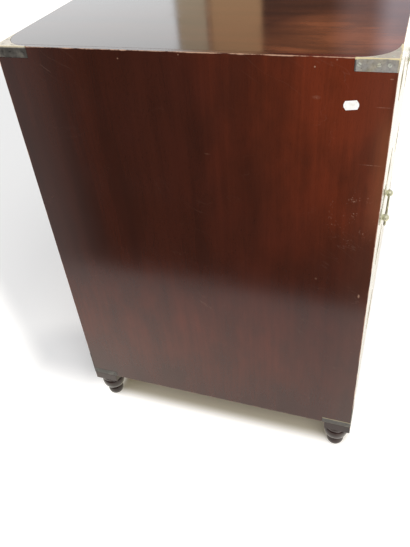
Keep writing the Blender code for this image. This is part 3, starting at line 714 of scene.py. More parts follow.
def merged_copy(node):
    """The node's mesh with its loose triangles welded and its flat faces made whole."""
    shape = bmesh.new()
    shape.from_mesh(frame["nodes"][node].data)
    bmesh.ops.remove_doubles(shape, verts=shape.verts, dist=WELD)
    bmesh.ops.dissolve_limit(shape, angle_limit=FLAT_ANGLE, verts=shape.verts, edges=shape.edges)
    return shape


def eased_board(node, material, width=0.0006, segments=2):
    """A board whose sharp edges are eased, in place of a node."""
    shape = merged_copy(node)
    ease(shape, sharp_edges(shape), width, segments)
    stand_for(add_object(node + "_eased", shape, material), node)


print("edges are eased from", round(math.degrees(EDGE_ANGLE)), "degrees")

# %% [markdown]
# The grain runs upright on the sides and back, from front to back on the top, and along
# the rails. One material could serve all the boards, but then the figure would run on
# from board to board as if they were one block, so each has its own turn and offset. The
# top has been polished most, and has a lighter patch near its left front corner.

# %% Case boards
CASE_BOARDS = {
    "side_left": ("Z", 0.0),
    "side_right": ("Z", 3.1),
    "bottom": ("X", 5.2),
    "back_panel": ("Z", 7.7),
    "dust_board_1": ("X", 2.2),
    "dust_board_2": ("X", 4.4),
    "dust_board_3": ("X", 6.1),
}
TOP_COLOURS = {"Dark": shade(50, 25, 15), "Middle": shade(68, 35, 21), "Light": shade(131, 75, 46)}
TOP_LOOK = {
    "offset": 1.3, "lightening": 0.25, "roughness": 0.045, "colours": TOP_COLOURS, "streaks": 0.80,
    "patch": ((-0.425, -0.222, CASE_TOP), (0.170, 0.150, 0.1)),
}
for node, (axis, offset) in CASE_BOARDS.items():
    finish = mahogany(node + "_mahogany", axis, offset=offset, history=node == "side_left")
    eased_board(node, finish, segments=3)
eased_board("top", mahogany("top_mahogany", "Y", **TOP_LOOK), segments=3)
print("case boards", len(CASE_BOARDS) + 1)

# %% [markdown]
# A drawer's front is one polished board with its grain across, and its own worn edges.
# The four boards behind it are thinner and plain. Their edges are eased less, as they
# were only taken off with a few strokes of a plane.

# %% Drawer boards
FRONT_EASE, DRAWER_EASE = 0.0005, 0.0004
FRONT_SHIFT, INNER_SHIFT = 1.7, 0.37
INNER_BOARDS = {"side_left": "Y", "side_right": "Y", "back": "X", "bottom": "X"}
for number in ROWS:
    front = f"drawer_{number}_front"
    finish = mahogany(front + "_mahogany", "X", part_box(front), number * FRONT_SHIFT)
    eased_board(front, finish, FRONT_EASE)
    for part, axis in INNER_BOARDS.items():
        node = f"drawer_{number}_{part}"
        finish = drawer_wood(node + "_wood", axis, number + len(part) * INNER_SHIFT)
        eased_board(node, finish, DRAWER_EASE)
print("drawers", len(ROWS))

# %% [markdown]
# Each foot is one turning under a square block. It could be built from stacked rounds,
# but a turner thinks of it as a profile: half a round for the ring, a groove, a bulb
# that falls to a neck, and a ball. So the profile is a few arcs joined by edges, and a
# full spin makes it a solid.

# %% Foot profile
BLOCK_HEIGHT = 0.0230
RING_RADIUS, RING_HEIGHT = 0.0280, 0.0120
GROOVE_RADIUS = 0.0240
BULB_RADIUS, BULB_RISE, BULB_FALL = 0.0286, 0.0100, 0.0230
NECK_RADIUS, BALL_RADIUS, SOLE_RADIUS = 0.0150, 0.0198, 0.0080
ARC_STEPS = 10


def arc(start, end, centre, radii, steps=ARC_STEPS):
    """Points (radius, height) along part of an ellipse."""
    angles = [math.radians(start + (end - start) * step / steps) for step in range(steps + 1)]
    (x, z), (wide, tall) = centre, radii
    return [(x + wide * math.cos(angle), z + tall * math.sin(angle)) for angle in angles]


def foot_profile():
    """The outline of a foot from the block down to the floor."""
    ring_top = CASE_BOTTOM - BLOCK_HEIGHT
    bulb_middle = ring_top - RING_HEIGHT - BULB_RISE
    sole_angle = math.degrees(math.acos(SOLE_RADIUS / BALL_RADIUS))
    neck_angle = math.degrees(math.acos(NECK_RADIUS / BALL_RADIUS))
    ball_middle = BALL_RADIUS * math.sin(math.radians(sole_angle))
    ring = (RING_RADIUS - GROOVE_RADIUS, RING_HEIGHT / 2)
    bulb = (BULB_RADIUS - GROOVE_RADIUS, BULB_RISE)
    points = [(0, ring_top)]
    points += arc(90, -90, (GROOVE_RADIUS, ring_top - RING_HEIGHT / 2), ring)
    points += arc(90, 0, (GROOVE_RADIUS, bulb_middle), bulb)[1:]
    points += arc(0, -90, (NECK_RADIUS, bulb_middle), (BULB_RADIUS - NECK_RADIUS, BULB_FALL))[1:]
    points += arc(neck_angle, -sole_angle, (0, ball_middle), (BALL_RADIUS, BALL_RADIUS))
    return points + [(0, 0)]


print("foot profile points", len(foot_profile()))

# %% [markdown]
# Several solids are often built in one bmesh, so each helper works on the vertices that
# are new since its start. Parts could be joined from objects of their own, which is
# slower and leaves their meshes behind. A spin can leave a solid inside out, so its
# faces are turned outwards once its doubles are merged.

# %% Mesh helpers
def edges_of(verts):
    return list({edge for vert in verts for edge in vert.link_edges})


def faces_of(verts):
    return list({face for vert in verts for face in vert.link_faces})


def new_since(shape, known):
    """The vertices that a shape has gained."""
    return [vert for vert in shape.verts if vert not in known]


def face_out(shape, verts=None):
    """Turns the faces of a closed shape outwards."""
    bmesh.ops.recalc_face_normals(shape, faces=faces_of(verts or shape.verts))


def move(shape, matrix, verts=None):
    bmesh.ops.transform(shape, matrix=matrix, verts=verts or shape.verts)


print("mesh helpers: edges, faces, moves and normals")

# %% Spun solids and soft boxes
def spun(shape, profile, matrix, steps):
    """Spins a profile of (radius, height) round its Z axis into a closed solid, at a place."""
    known = set(shape.verts)
    verts = [shape.verts.new((radius, 0, height)) for radius, height in profile]
    edges = [shape.edges.new(pair) for pair in zip(verts, verts[1:])]
    turn = {"cent": (0, 0, 0), "axis": (0, 0, 1), "angle": math.radians(360), "steps": steps}
    bmesh.ops.spin(shape, geom=verts + edges, use_merge=True, **turn)
    bmesh.ops.remove_doubles(shape, verts=new_since(shape, known), dist=WELD)
    new = new_since(shape, known)
    move(shape, matrix, new)
    face_out(shape, new)


def soft_box(shape, low, high, width, segments=3):
    """A box with eased edges, added to a shape."""
    low, high = Vector(low), Vector(high)
    size = Matrix.Diagonal((*(high - low), 1))
    made = bmesh.ops.create_cube(shape, size=1, matrix=Matrix.Translation((low + high) / 2) @ size)
    ease(shape, edges_of(made["verts"]), width, segments)


print("solids are welded within", WELD, "m")

# %% [markdown]
# The four feet are the same turning. The front ones stand a little farther in from the
# face of the case, and each block fills the corner of the case that is over it.

# %% Feet
FOOT_INSET_SIDE, FOOT_INSETS = 0.029, {"front": 0.033, "back": 0.029}
FOOT_STEPS, BLOCK_EASE = 64, 0.0010
FOOT_COLOURS = {"Dark": shade(34, 19, 15), "Middle": shade(48, 25, 19), "Light": shade(70, 36, 26)}
FOOT_MAHOGANY = mahogany("foot_mahogany", "Z", offset=9.0, wear=0.0008, colours=FOOT_COLOURS)
for end, face in ENDS.items():
    for hand, side in HANDS.items():
        node = f"foot_{end}_{hand}"
        case_x = LEFT_X if side < 0 else RIGHT_X
        case_y = FRONT_Y if face < 0 else BACK_Y
        low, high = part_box(node)
        shape = bmesh.new()
        block_y = (case_y, case_y - face * (high.x - low.x))
        block_low = (low.x, min(block_y), CASE_BOTTOM - BLOCK_HEIGHT)
        soft_box(shape, block_low, (high.x, max(block_y), high.z), BLOCK_EASE)
        middle = (case_x - side * FOOT_INSET_SIDE, case_y - face * FOOT_INSETS[end], 0)
        spun(shape, foot_profile(), Matrix.Translation(middle), FOOT_STEPS)
        stand_for(add_object(f"turned_{node}", shape, FOOT_MAHOGANY), node)
print("feet", len(ENDS) * len(HANDS))

# %% [markdown]
# The brass corners are let in almost flush and held by countersunk screws. A screw could
# be a picture of a screw on the brass, but its slot and its rim catch the light. It is a
# small turning: spun, cut in two planes beside the slot, and placed at its own angle,
# because nobody lines up screws on a working chest.

# %% Screw heads
SCREW_DEPTH, SCREW_SLOT, SLOT_STEPS = 0.0010, 0.0008, 28
HEAD_RISE = 0.00008
RIM_SHARE, DOME_SHARE, DOME_HEIGHT, RIM_DEPTH, TIP_SHARE = 0.94, 0.5, 0.85, 0.15, 0.5


def outward_matrix(point, outward, turn=0.0):
    """Stands a shape's Z along a face's outward direction, at a point on that face."""
    stand = Vector(outward).to_track_quat("Z", "Y").to_matrix().to_4x4()
    return Matrix.Translation(point) @ stand @ Matrix.Rotation(turn, 4, "Z")


def slotted_head(shape, matrix, radius):
    """Adds a screw head to a shape: a low dome over a cone, parted by its slot."""
    rim, deep = radius * RIM_SHARE, SCREW_DEPTH
    profile = [(0, HEAD_RISE), (rim * DOME_SHARE, HEAD_RISE * DOME_HEIGHT), (rim, 0)]
    profile += [(radius, -deep * RIM_DEPTH), (radius * TIP_SHARE, -deep), (0, -deep)]
    for sign in (1, -1):
        head = bmesh.new()
        spun(head, profile, Matrix.Identity(4), SLOT_STEPS)
        cut = {"plane_co": (sign * SCREW_SLOT / 2, 0, 0), "plane_no": (sign, 0, 0)}
        parts = [*head.verts, *head.edges, *head.faces]
        bmesh.ops.bisect_plane(head, geom=parts, clear_inner=True, **cut)
        bmesh.ops.holes_fill(head, edges=[edge for edge in head.edges if edge.is_boundary])
        move(head, matrix)
        face_out(head)
        half = bpy.data.meshes.new("half_head")
        head.to_mesh(half)
        head.free()
        shape.from_mesh(half)
        bpy.data.meshes.remove(half)


print("screw heads are", SCREW_DEPTH, "m deep")

# %% Countersinks
SINK_SPARE, HEAD_SUNK, SINK_TIP, SINK_DEEP = 0.00025, 0.0001, 0.55, 1.2


def cut_away(piece, shape):
    """Cuts a shape out of a piece with a Boolean, and applies it."""
    cutter = linked_object("cutter", shape)
    piece.modifiers.clear()
    step = piece.modifiers.new("cut", "BOOLEAN")
    step.operation = "DIFFERENCE"
    step.solver = "EXACT"
    step.object = cutter
    view = bpy.context.evaluated_depsgraph_get()
    cut = bpy.data.meshes.new_from_object(piece.evaluated_get(view))
    piece.modifiers.clear()
    piece.data = cut
    bpy.data.objects.remove(cutter)
    shade_flats(piece)


def sunk_screws(plate, name, matrices, radius, body, slot, material):
    """Cuts countersinks in a plate and sets a slotted screw in each."""
    sinks, screws = bmesh.new(), bmesh.new()
    wide, deep = radius + SINK_SPARE, SCREW_DEPTH * SINK_DEEP
    sink = [(0, SCREW_DEPTH), (wide, SCREW_DEPTH), (wide, 0), (wide * SINK_TIP, -deep), (0, -deep)]
    for matrix in matrices:
        spun(sinks, sink, matrix, SLOT_STEPS)
        slotted_head(screws, matrix @ Matrix.Translation((0, 0, -HEAD_SUNK)), radius)
    cut_away(plate, sinks)
    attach(add_object(name, screws, material), body)


print("countersinks are", SINK_SPARE, "m wider than their screws")

# %% [markdown]
# A screw's place is written as its distances from the corner of the case: across, along
# and up. The same list then serves every corner, turned by the hand and the end that the
# corner belongs to.

# %% Places of the corner screws
SCREW_RADIUS = 0.0029
STRAP_MIDDLE, LOWER_STRAP_MIDDLE = 0.0094, 0.0078
STRAP_SCREWS, LOWER_STRAP_SCREWS = (0.013, 0.027, 0.053), (0.010, 0.033, 0.055)
UPRIGHT_SCREWS = (0.031, 0.058)
PLATE_SCREWS = ((0.0105, 0.0105), (0.031, 0.0056), (0.0056, 0.031))
GOLDEN_TURN = 2.4
CORNER_SCREWS = {
    "top": [("side", (0, along, STRAP_MIDDLE)) for along in STRAP_SCREWS]
    + [("face", (along, 0, STRAP_MIDDLE)) for along in STRAP_SCREWS]
    + [("plate", (across, along, 0)) for across, along in PLATE_SCREWS],
    "bottom": [("side", (0, along, LOWER_STRAP_MIDDLE)) for along in LOWER_STRAP_SCREWS]
    + [("face", (along, 0, LOWER_STRAP_MIDDLE)) for along in LOWER_STRAP_SCREWS[1:]]
    + [("face", (STRAP_MIDDLE, 0, up)) for up in UPRIGHT_SCREWS],
}


def screw_matrices(hand, end, level):
    """Where each screw of one corner stands, and which way it points."""
    side, face = HANDS[hand], ENDS[end]
    low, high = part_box(f"corner_{level}_{end}_{hand}")
    x, y = (low.x if side < 0 else high.x), (low.y if face < 0 else high.y)
    corner = Vector((x, y, high.z if level == "top" else low.z))
    rise = -1 if level == "top" else 1
    outward = {"side": (side, 0, 0), "face": (0, face, 0), "plate": (0, 0, 1)}
    places = []
    for count, (skin, (across, along, up)) in enumerate(CORNER_SCREWS[level]):
        point = corner + Vector((-side * across, -face * along, rise * up))
        places.append(outward_matrix(point, outward[skin], GOLDEN_TURN * (count + 1)))
    return places


print("screws on a corner", {level: len(spots) for level, spots in CORNER_SCREWS.items()})

# %% [markdown]
# Each corner is a copy of its node with eased edges, and a Boolean cuts its
# countersinks, one cone for each screw. Holes could be bridged in by hand instead, but
# a corner wraps three faces of the case, and a Boolean follows any shape.

# %% Brass corners and their screws
CORNER_EASE = 0.00022
for level in CORNER_SCREWS:
    for end in ENDS:
        for hand in HANDS:
            name = f"{level}_{end}_{hand}"
            shape = merged_copy("corner_" + name)
            ease(shape, sharp_edges(shape), CORNER_EASE, 2)
            plate = add_object("brass_" + name, shape, CORNER_BRASS)
            # The screws of the front top corners get the pale brass, a painted glint; the others
            # match their plate.
            look = GLINT_SCREW_BRASS if (level, end) == ("top", "front") else CORNER_BRASS
            places = screw_matrices(hand, end, level)
            held_by = ("carcass", "corner_brass", look)
            sunk_screws(plate, "screws_" + name, places, SCREW_RADIUS, *held_by)
            stand_for(plate, "corner_" + name)
print("brass corners", len(CORNER_SCREWS) * len(ENDS) * len(HANDS))

# %% [markdown]
# A flush handle lies in a shallow brass cup, so that nothing sticks out when the chest
# is carried. A Boolean could sink the cup in a plate, but bridged loops give cleaner
# corners. The plate is two loops of edges bridged into a face: the outer one with small
# corners, the inner one with the cup's round lower corners. The inner loop is pushed in
# to make the cup, and Solidify gives the sheet its thickness.

# %% Loops of edges
def rounded_loop(shape, width, height, lower, upper, steps=6):
    """The edges of a rectangle whose lower and upper corners are rounded."""
    verts = bmesh.ops.create_grid(shape, x_segments=1, y_segments=1, size=0.5)["verts"]
    bmesh.ops.scale(shape, vec=(width, height, 1), verts=verts)
    known = set(shape.verts) - set(verts)
    for radius, sign in ((lower, -1), (upper, 1)):
        new = new_since(shape, known)
        ends = [vert for vert in new if abs(abs(vert.co.x) - width / 2) < WELD]
        corners = [vert for vert in ends if abs(vert.co.y - sign * height / 2) < WELD]
        ease(shape, corners, radius, steps, "VERTICES")
    verts = new_since(shape, known)
    bmesh.ops.delete(shape, geom=faces_of(verts), context="FACES_ONLY")
    return edges_of(verts)


def extruded(shape, edges):
    """Extrudes a loop of edges, and returns the new vertices and the new loop."""
    made = bmesh.ops.extrude_edge_only(shape, edges=edges)["geom"]
    verts = [item for item in made if isinstance(item, bmesh.types.BMVert)]
    edges = [item for item in made if isinstance(item, bmesh.types.BMEdge)]
    return verts, [edge for edge in edges if edge.is_boundary]


def push(shape, edges, depth):
    """Extrudes a loop of edges straight back and returns the new loop."""
    verts, loop = extruded(shape, edges)
    bmesh.ops.translate(shape, vec=(0, 0, -depth), verts=verts)
    return loop


print("loop helpers: rounded, extruded and pushed")

# %% Flush plates
CUP_WIDTH, CUP_HEIGHT, CUP_DEPTH = 0.066, 0.030, 0.0095
CUP_ROUND, CUP_TIGHT, CUP_FILLET = 0.0105, 0.0012, 0.0022
PLATE_WIDTH, PLATE_HEIGHT, PLATE_RIM = 0.098, 0.044, 0.0022
PLATE_ROUND, PLATE_EASE, PLATE_SHEET = 0.0035, 0.0006, 0.0012


def flush_plate():
    """A recessed plate in its own plane: X across, Y up and Z out of the drawer's front."""
    shape = bmesh.new()
    rim = rounded_loop(shape, PLATE_WIDTH, PLATE_HEIGHT, PLATE_ROUND, PLATE_ROUND)
    mouth = rounded_loop(shape, CUP_WIDTH, CUP_HEIGHT, CUP_ROUND, CUP_TIGHT)
    bmesh.ops.bridge_loops(shape, edges=rim + mouth)
    corners = [edge for edge in rim + mouth if edge.is_valid]
    push(shape, rim, PLATE_RIM)
    floor_edges = push(shape, mouth, CUP_DEPTH)
    bmesh.ops.contextual_create(shape, geom=floor_edges)
    face_out(shape)
    ease(shape, [edge for edge in floor_edges if edge.is_valid], CUP_FILLET, 4)
    ease(shape, [edge for edge in corners if edge.is_valid], PLATE_EASE, 2)
    return shape


print("plate", PLATE_WIDTH, "by", PLATE_HEIGHT)

# %% [markdown]
# The drop is a round bar, bent to a loop that swells towards its middle. A curve with a
# bevel would bend as well, and gives less say over its ends. Here a circle is extruded
# from point to point along the loop's middle line, and turned and scaled at each step,
# which is how a bar of changing thickness is made from one circle.

# %% Bent bars
BAR_SIDES, BEND_STEPS, GRIP_STEPS, GRIP_FALL = 16, 6, 6, 0.6


def loop_path(half_pin, half_leg, bend, curve, depth):
    """The middle line of a hanging loop, from pin to pin, as places (x, z) below its hinge."""
    left = [(-half_pin, 0), *arc(90, 0, (-half_leg - bend, -bend), (bend, bend), BEND_STEPS)]
    left += arc(180, 270, (curve - half_leg, curve - depth), (curve, curve))
    steps = range(GRIP_STEPS - 1, 0, -1)
    left += [((curve - half_leg) * step / GRIP_STEPS, -depth) for step in steps]
    return left + [(0, -depth)] + [(-x, z) for x, z in reversed(left)]


def swept_bar(shape, path, radii, matrix):
    """Extrudes a circle along a path in the XZ plane, and scales it to each radius."""
    places = []
    for step, (radius, (x, z)) in enumerate(zip(radii, path)):
        before, after = path[max(step - 1, 0)], path[min(step + 1, len(path) - 1)]
        turn = Matrix.Rotation(math.atan2(after[0] - before[0], after[1] - before[1]), 4, "Y")
        size = Matrix.Diagonal((radius, radius, radius, 1))
        places.append(Matrix.Translation((x, 0, z)) @ turn @ size)
    known = set(shape.verts)
    bmesh.ops.create_circle(shape, cap_ends=True, segments=BAR_SIDES, radius=1, matrix=places[0])
    ring = [edge for edge in edges_of(new_since(shape, known)) if edge.is_boundary]
    for here, there in zip(places, places[1:]):
        verts, ring = extruded(shape, ring)
        move(shape, there @ here.inverted(), verts)
    bmesh.ops.contextual_create(shape, geom=ring)
    new = new_since(shape, known)
    move(shape, matrix, new)
    face_out(shape, new)


def hanging_bar(name, hinge, material, radius, swell, half_pin, half_leg, bend, curve, depth):
    """A bent bar hung from its hinge: plain at the pins, full in the middle of the grip."""
    shape = bmesh.new()
    path = loop_path(half_pin, half_leg, bend, curve, depth)
    fullness = [(z / depth) ** 2 * (1 - GRIP_FALL * (x / half_leg) ** 2) for x, z in path]
    radii = [radius * (1 + (swell - 1) * full) for full in fullness]
    swept_bar(shape, path, radii, Matrix.Translation(hinge))
    return add_object(name, shape, material)


print("bars have", BAR_SIDES, "sides")

# %% [markdown]
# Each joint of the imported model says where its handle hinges, so the loops are hung from
# those points, and the handle fits its pin wherever the model puts it. The plate's
# middle follows from the hinge, and its four screws are sunk like those of the corners.

# %% Flush handles
DROP = {
    "radius": 0.0024, "swell": 1.22, "depth": 0.0190, "bend": 0.0034, "curve": 0.0080,
    "half_leg": CUP_WIDTH / 2 - 0.0040, "half_pin": CUP_WIDTH / 2 + 0.0011,
}
DROP_TOP_GAP = 0.0036
PLATE_SCREW_X, PLATE_SCREW_Z, PLATE_SCREW_RADIUS = 0.0405, 0.0135, 0.0021
PLATE_CORNERS = ((-1, 1), (1, 1), (-1, -1), (1, -1))
UPRIGHT = Matrix.Rotation(math.radians(90), 4, "X")
hinged = [joint for joint in frame["joints"] if joint["type"] == "hinge"]
HINGES = {joint["child"]: Vector(joint["pos_m"]) for joint in hinged}
for number in ROWS:
    for hand in HANDS:
        node, body = f"drawer_{number}_plate_{hand}", f"drop_{number}_{hand}"
        hinge = HINGES[body]
        middle = Vector((hinge.x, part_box(node)[0].y, hinge.z - CUP_HEIGHT / 2 + DROP_TOP_GAP))
        shape = flush_plate()
        move(shape, Matrix.Translation(middle) @ UPRIGHT)
        bmesh.ops.solidify(shape, geom=shape.faces, thickness=PLATE_SHEET)
        plate = add_object(f"flush_plate_{number}_{hand}", shape, HANDLE_BRASS)
        places = []
        for count, (across, up) in enumerate(PLATE_CORNERS):
            spot = middle + Vector((across * PLATE_SCREW_X, 0, up * PLATE_SCREW_Z))
            places.append(outward_matrix(spot, (0, -1, 0), GOLDEN_TURN * (count + number)))
        held_by = (f"drawer_{number}", "handle_brass", HANDLE_BRASS)
        name = f"plate_screws_{number}_{hand}"
        sunk_screws(plate, name, places, PLATE_SCREW_RADIUS, *held_by)
        stand_for(plate, node)
        bar = hanging_bar(f"drop_bar_{number}_{hand}", hinge, DARK_BRASS, **DROP)
        stand_for(bar, f"drawer_{number}_drop_{hand}")
print("flush handles", len(ROWS) * len(HANDS))

# %% [markdown]
# The second drawer has two larger handles that stand proud. Each hangs between two
# posts: a round rose lies on the drawer, and a ball grows out of it on a short neck.
# Sphere and disc could be joined, but a rose and its post are one turning, so they are
# one profile, spun round an axis that points out of the drawer. A thin strip on the wood
# holds the pair at their distance.

# %% Bail handles
BAIL = {
    "radius": 0.0020, "swell": 1.20, "depth": 0.0265, "bend": 0.0034, "curve": 0.0100,
    "half_leg": 0.0310, "half_pin": 0.0375,
}
BAIL_SPACING, POST_STEPS, BALL_STEPS = 0.082, 48, 14
ROSE_RADIUS, ROSE_THICK, ROSE_STEP, ROSE_RIM_STEPS = 0.0150, 0.0016, 0.0105, 4
ROSE_RIM, ROSE_SLOPE, NECK_FILLET = 0.6, 0.0004, 0.0012
LINK_HEIGHT, LINK_THICK, LINK_EASE = 0.0060, 0.0010, 0.0003
POST_NECK, POST_BALL = 0.0046, 0.0066


def post_profile(reach):
    """A rose and its post as (radius, height), from the wood to the tip of the ball."""
    rim = ROSE_THICK * ROSE_RIM
    edge = arc(0, 90, (ROSE_RADIUS - rim / 2, rim / 2), (rim / 2, rim / 2), ROSE_RIM_STEPS)
    rose = [(0, 0), (ROSE_RADIUS, 0), *edge, (ROSE_STEP + ROSE_SLOPE, rim)]
    rose += [(ROSE_STEP, ROSE_THICK), (POST_NECK + NECK_FILLET, ROSE_THICK)]
    start = -math.degrees(math.acos(POST_NECK / POST_BALL))
    return rose + arc(start, 90, (0, reach - POST_BALL), (POST_BALL, POST_BALL), BALL_STEPS)


for hand in HANDS:
    hinge = HINGES["bail_" + hand]
    low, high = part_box("bail_plate_" + hand)
    shape = bmesh.new()
    link_low = (hinge.x - BAIL_SPACING / 2, high.y - LINK_THICK, hinge.z - LINK_HEIGHT / 2)
    link_high = (hinge.x + BAIL_SPACING / 2, high.y, hinge.z + LINK_HEIGHT / 2)
    soft_box(shape, link_low, link_high, LINK_EASE, 2)
    for side in HANDS.values():
        foot = (hinge.x + side * BAIL_SPACING / 2, high.y, hinge.z)
        spun(shape, post_profile(high.y - low.y), outward_matrix(foot, (0, -1, 0)), POST_STEPS)
    # The posts wear the pale brass, whose colour is a painted sheen.
    posts = add_object("bail_posts_" + hand, shape, SHEEN_ROSE_BRASS)
    stand_for(posts, "bail_plate_" + hand)
    bar = hanging_bar("bail_bar_" + hand, hinge, BAR_BRASS, **BAIL)
    stand_for(bar, "bail_" + hand)
print("bail handles", len(HANDS))

# %% [markdown]
# A lock in each drawer is usual on such a chest. Its keyhole is lined with a thin brass
# strip, set flush in the wood. The outline could be a ring joined to a slot. It is
# quicker to start from a circle and draw its lowest points down to make the tail. The
# same outline, a little larger, cuts the pocket.

# %% Keyhole shapes
KEYHOLE_RADIUS, KEYHOLE_TAIL, KEYHOLE_SPREAD, KEYHOLE_STEPS = 0.0033, 0.0072, 1.9, 22
KEYHOLE_WALL, LINER_DEPTH, KEYHOLE_DEPTH, POCKET_START = 0.0010, 0.0030, 0.0120, 0.002


def keyhole_loop(shape, grow, start=0.0):
    """The edges of a keyhole outline that is grown by a margin, at a height."""
    known = set(shape.verts)
    turn = Matrix.Translation((0, 0, start)) @ Matrix.Rotation(math.pi / KEYHOLE_STEPS, 4, "Z")
    radius = KEYHOLE_RADIUS + grow
    bmesh.ops.create_circle(shape, segments=KEYHOLE_STEPS, radius=radius, matrix=turn)
    verts = new_since(shape, known)
    lowest = min(vert.co.y for vert in verts)
    for vert in [vert for vert in verts if vert.co.y < lowest + WELD]:
        vert.co = (vert.co.x * KEYHOLE_SPREAD, vert.co.y - KEYHOLE_TAIL, vert.co.z)
    return edges_of(verts)


def keyhole_liner():
    """The thin brass strip round the hole."""
    shape = bmesh.new()
    outer, inner = keyhole_loop(shape, KEYHOLE_WALL), keyhole_loop(shape, 0)
    bmesh.ops.bridge_loops(shape, edges=outer + inner)
    back = push(shape, outer, LINER_DEPTH) + push(shape, inner, LINER_DEPTH)
    bmesh.ops.bridge_loops(shape, edges=back)
    face_out(shape)
    return shape


def keyhole_pocket():
    """The solid that is cut out of the drawer's front."""
    shape = bmesh.new()
    front = keyhole_loop(shape, KEYHOLE_WALL, POCKET_START)
    bmesh.ops.contextual_create(shape, geom=front)
    back = push(shape, list(shape.edges), KEYHOLE_DEPTH)
    bmesh.ops.contextual_create(shape, geom=back)
    face_out(shape)
    return shape


print("keyhole", KEYHOLE_RADIUS * 2, "across its bow")

# %% Keyholes
KEYHOLE_DROP, LINER_PROUD = 0.030, 0.00008
for number in ROWS:
    low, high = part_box(f"drawer_{number}_front")
    spot = Matrix.Translation((0, low.y, high.z - KEYHOLE_DROP)) @ UPRIGHT
    pocket = keyhole_pocket()
    move(pocket, spot)
    cut_away(bpy.data.objects[f"drawer_{number}_front_eased"], pocket)
    liner = keyhole_liner()
    move(liner, spot @ Matrix.Translation((0, 0, LINER_PROUD)))
    made = add_object(f"keyhole_liner_{number}", liner, HANDLE_BRASS)
    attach(made, f"drawer_{number}")
print("keyholes", len(ROWS))

# %% [markdown]
# A drawer's sides are joined to its front with dovetails. Seen from beside an open
# drawer, pale tails lie in the dark end of the front. The joint could be cut through
# both boards, but only its outline is ever seen, so each tail is a thin wedge: a cube
# whose front vertices are spread apart, set a hair proud so that the two woods meet in a
# clean line.

# %% Dovetails
TAIL_REACH, TAIL_PITCH, TAIL_ROOT, TAIL_FLARE = 0.0150, 0.036, 0.56, 1.35
TAIL_PROUD, TAIL_SUNK, TAIL_BACK = 0.00012, 0.0004, 0.0006
for number in ROWS:
    for hand, side in HANDS.items():
        low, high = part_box(f"drawer_{number}_side_{hand}")
        outer = low.x if side < 0 else high.x
        front_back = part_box(f"drawer_{number}_front")[1].y
        middle_y = front_back - TAIL_REACH / 2 + TAIL_BACK
        count = round((high.z - low.z) / TAIL_PITCH)
        pitch = (high.z - low.z) / count
        shape = bmesh.new()
        for step in range(count):
            middle = Vector((outer, middle_y, low.z + (step + 0.5) * pitch))
            there, back = Matrix.Translation(middle), Matrix.Translation(-middle)
            size = Matrix.Diagonal((2 * TAIL_SUNK, TAIL_REACH, pitch * TAIL_ROOT, 1))
            made = bmesh.ops.create_cube(shape, size=1, matrix=there @ size)
            ends = [vert for vert in made["verts"] if vert.co.y < middle.y]
            flare = there @ Matrix.Diagonal((1, 1, TAIL_FLARE, 1)) @ back
            move(shape, flare, ends)
            shift = side * (TAIL_PROUD - TAIL_SUNK)
            bmesh.ops.translate(shape, vec=(shift, 0, 0), verts=made["verts"])
        wood = bpy.data.materials[f"drawer_{number}_side_{hand}_wood"]
        tails = add_object(f"dovetails_{number}_{hand}", shape, wood)
        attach(tails, f"drawer_{number}")
print("sets of dovetails", len(ROWS) * len(HANDS))

# %% [markdown]
# A small plain paper label, with its corners cut off, is stuck near the top of the left
# side. It could be painted on the wood, but real paper has an edge that throws a thin
# line of shade. It is one flat face with its corners bevelled, given the thickness of
# paper, in a white that has yellowed a little in places.

# %% Paper label
LABEL_WIDTH, LABEL_HEIGHT, LABEL_CUT, CUT_STRETCH, PAPER = 0.0220, 0.0138, 0.0052, 1.9, 0.00018
LABEL_Y, LABEL_Z, LABEL_TILT = -0.255, 0.853, 7.0
LABEL_WHITE, LABEL_YELLOW = shade(243, 243, 240), shade(222, 216, 202)
PAPER_FIBRES, PAPER_ROUGH, PAPER_BUMP = 900, (0.7, 0.9), (0.2, 0.0001)
STAINS, STAIN_SPAN = 120, (0.45, 0.75, 0.0, 0.5)
label_paper, shader = new_material("label_paper")
spot = place("TexCoord")["Object"]
fibre = noise(spot, PAPER_FIBRES, detail=4, roughness=0.7)
stain = fade(noise(spot, STAINS, detail=3), *STAIN_SPAN)
plug(shader, {
    "Base Color": blend(stain, LABEL_WHITE, LABEL_YELLOW),
    "Roughness": fade(fibre, *NARROW, *PAPER_ROUGH),
    "Normal": bump(fibre, *PAPER_BUMP),
})
shape = bmesh.new()
edges = rounded_loop(shape, LABEL_WIDTH * CUT_STRETCH, LABEL_HEIGHT, LABEL_CUT, LABEL_CUT, steps=1)
bmesh.ops.scale(shape, vec=(1 / CUT_STRETCH, 1, 1), verts=shape.verts)
bmesh.ops.contextual_create(shape, geom=edges)
sheet = bmesh.ops.extrude_face_region(shape, geom=list(shape.faces))["geom"]
lifted = [item for item in sheet if isinstance(item, bmesh.types.BMVert)]
bmesh.ops.translate(shape, vec=(0, 0, PAPER), verts=lifted)
face_out(shape)
spot = Matrix.Translation((LEFT_X, LABEL_Y, LABEL_Z)) @ Matrix.Rotation(math.radians(-90), 4, "Z")
stand = spot @ UPRIGHT @ Matrix.Rotation(math.radians(LABEL_TILT), 4, "Z")
move(shape, stand)
label = add_object("paper_label", shape, label_paper)
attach(label, "carcass")
print("label", LABEL_WIDTH, "by", LABEL_HEIGHT)

# %% [markdown]
# The stage is plain: a pale floor that the eye sees as white, an even sky of soft light,
# and one large soft lamp from above. More lamps could bleach the floor to white, but
# they would flood the chest too, so the floor's lift is added only to the rays that come
# straight from the camera. Polish shows what stands round it, and an all-white room
# would bleach dark wood, so its mirror rays see a bright floor near the chest and a dim
# one farther off, with one patch of glare.

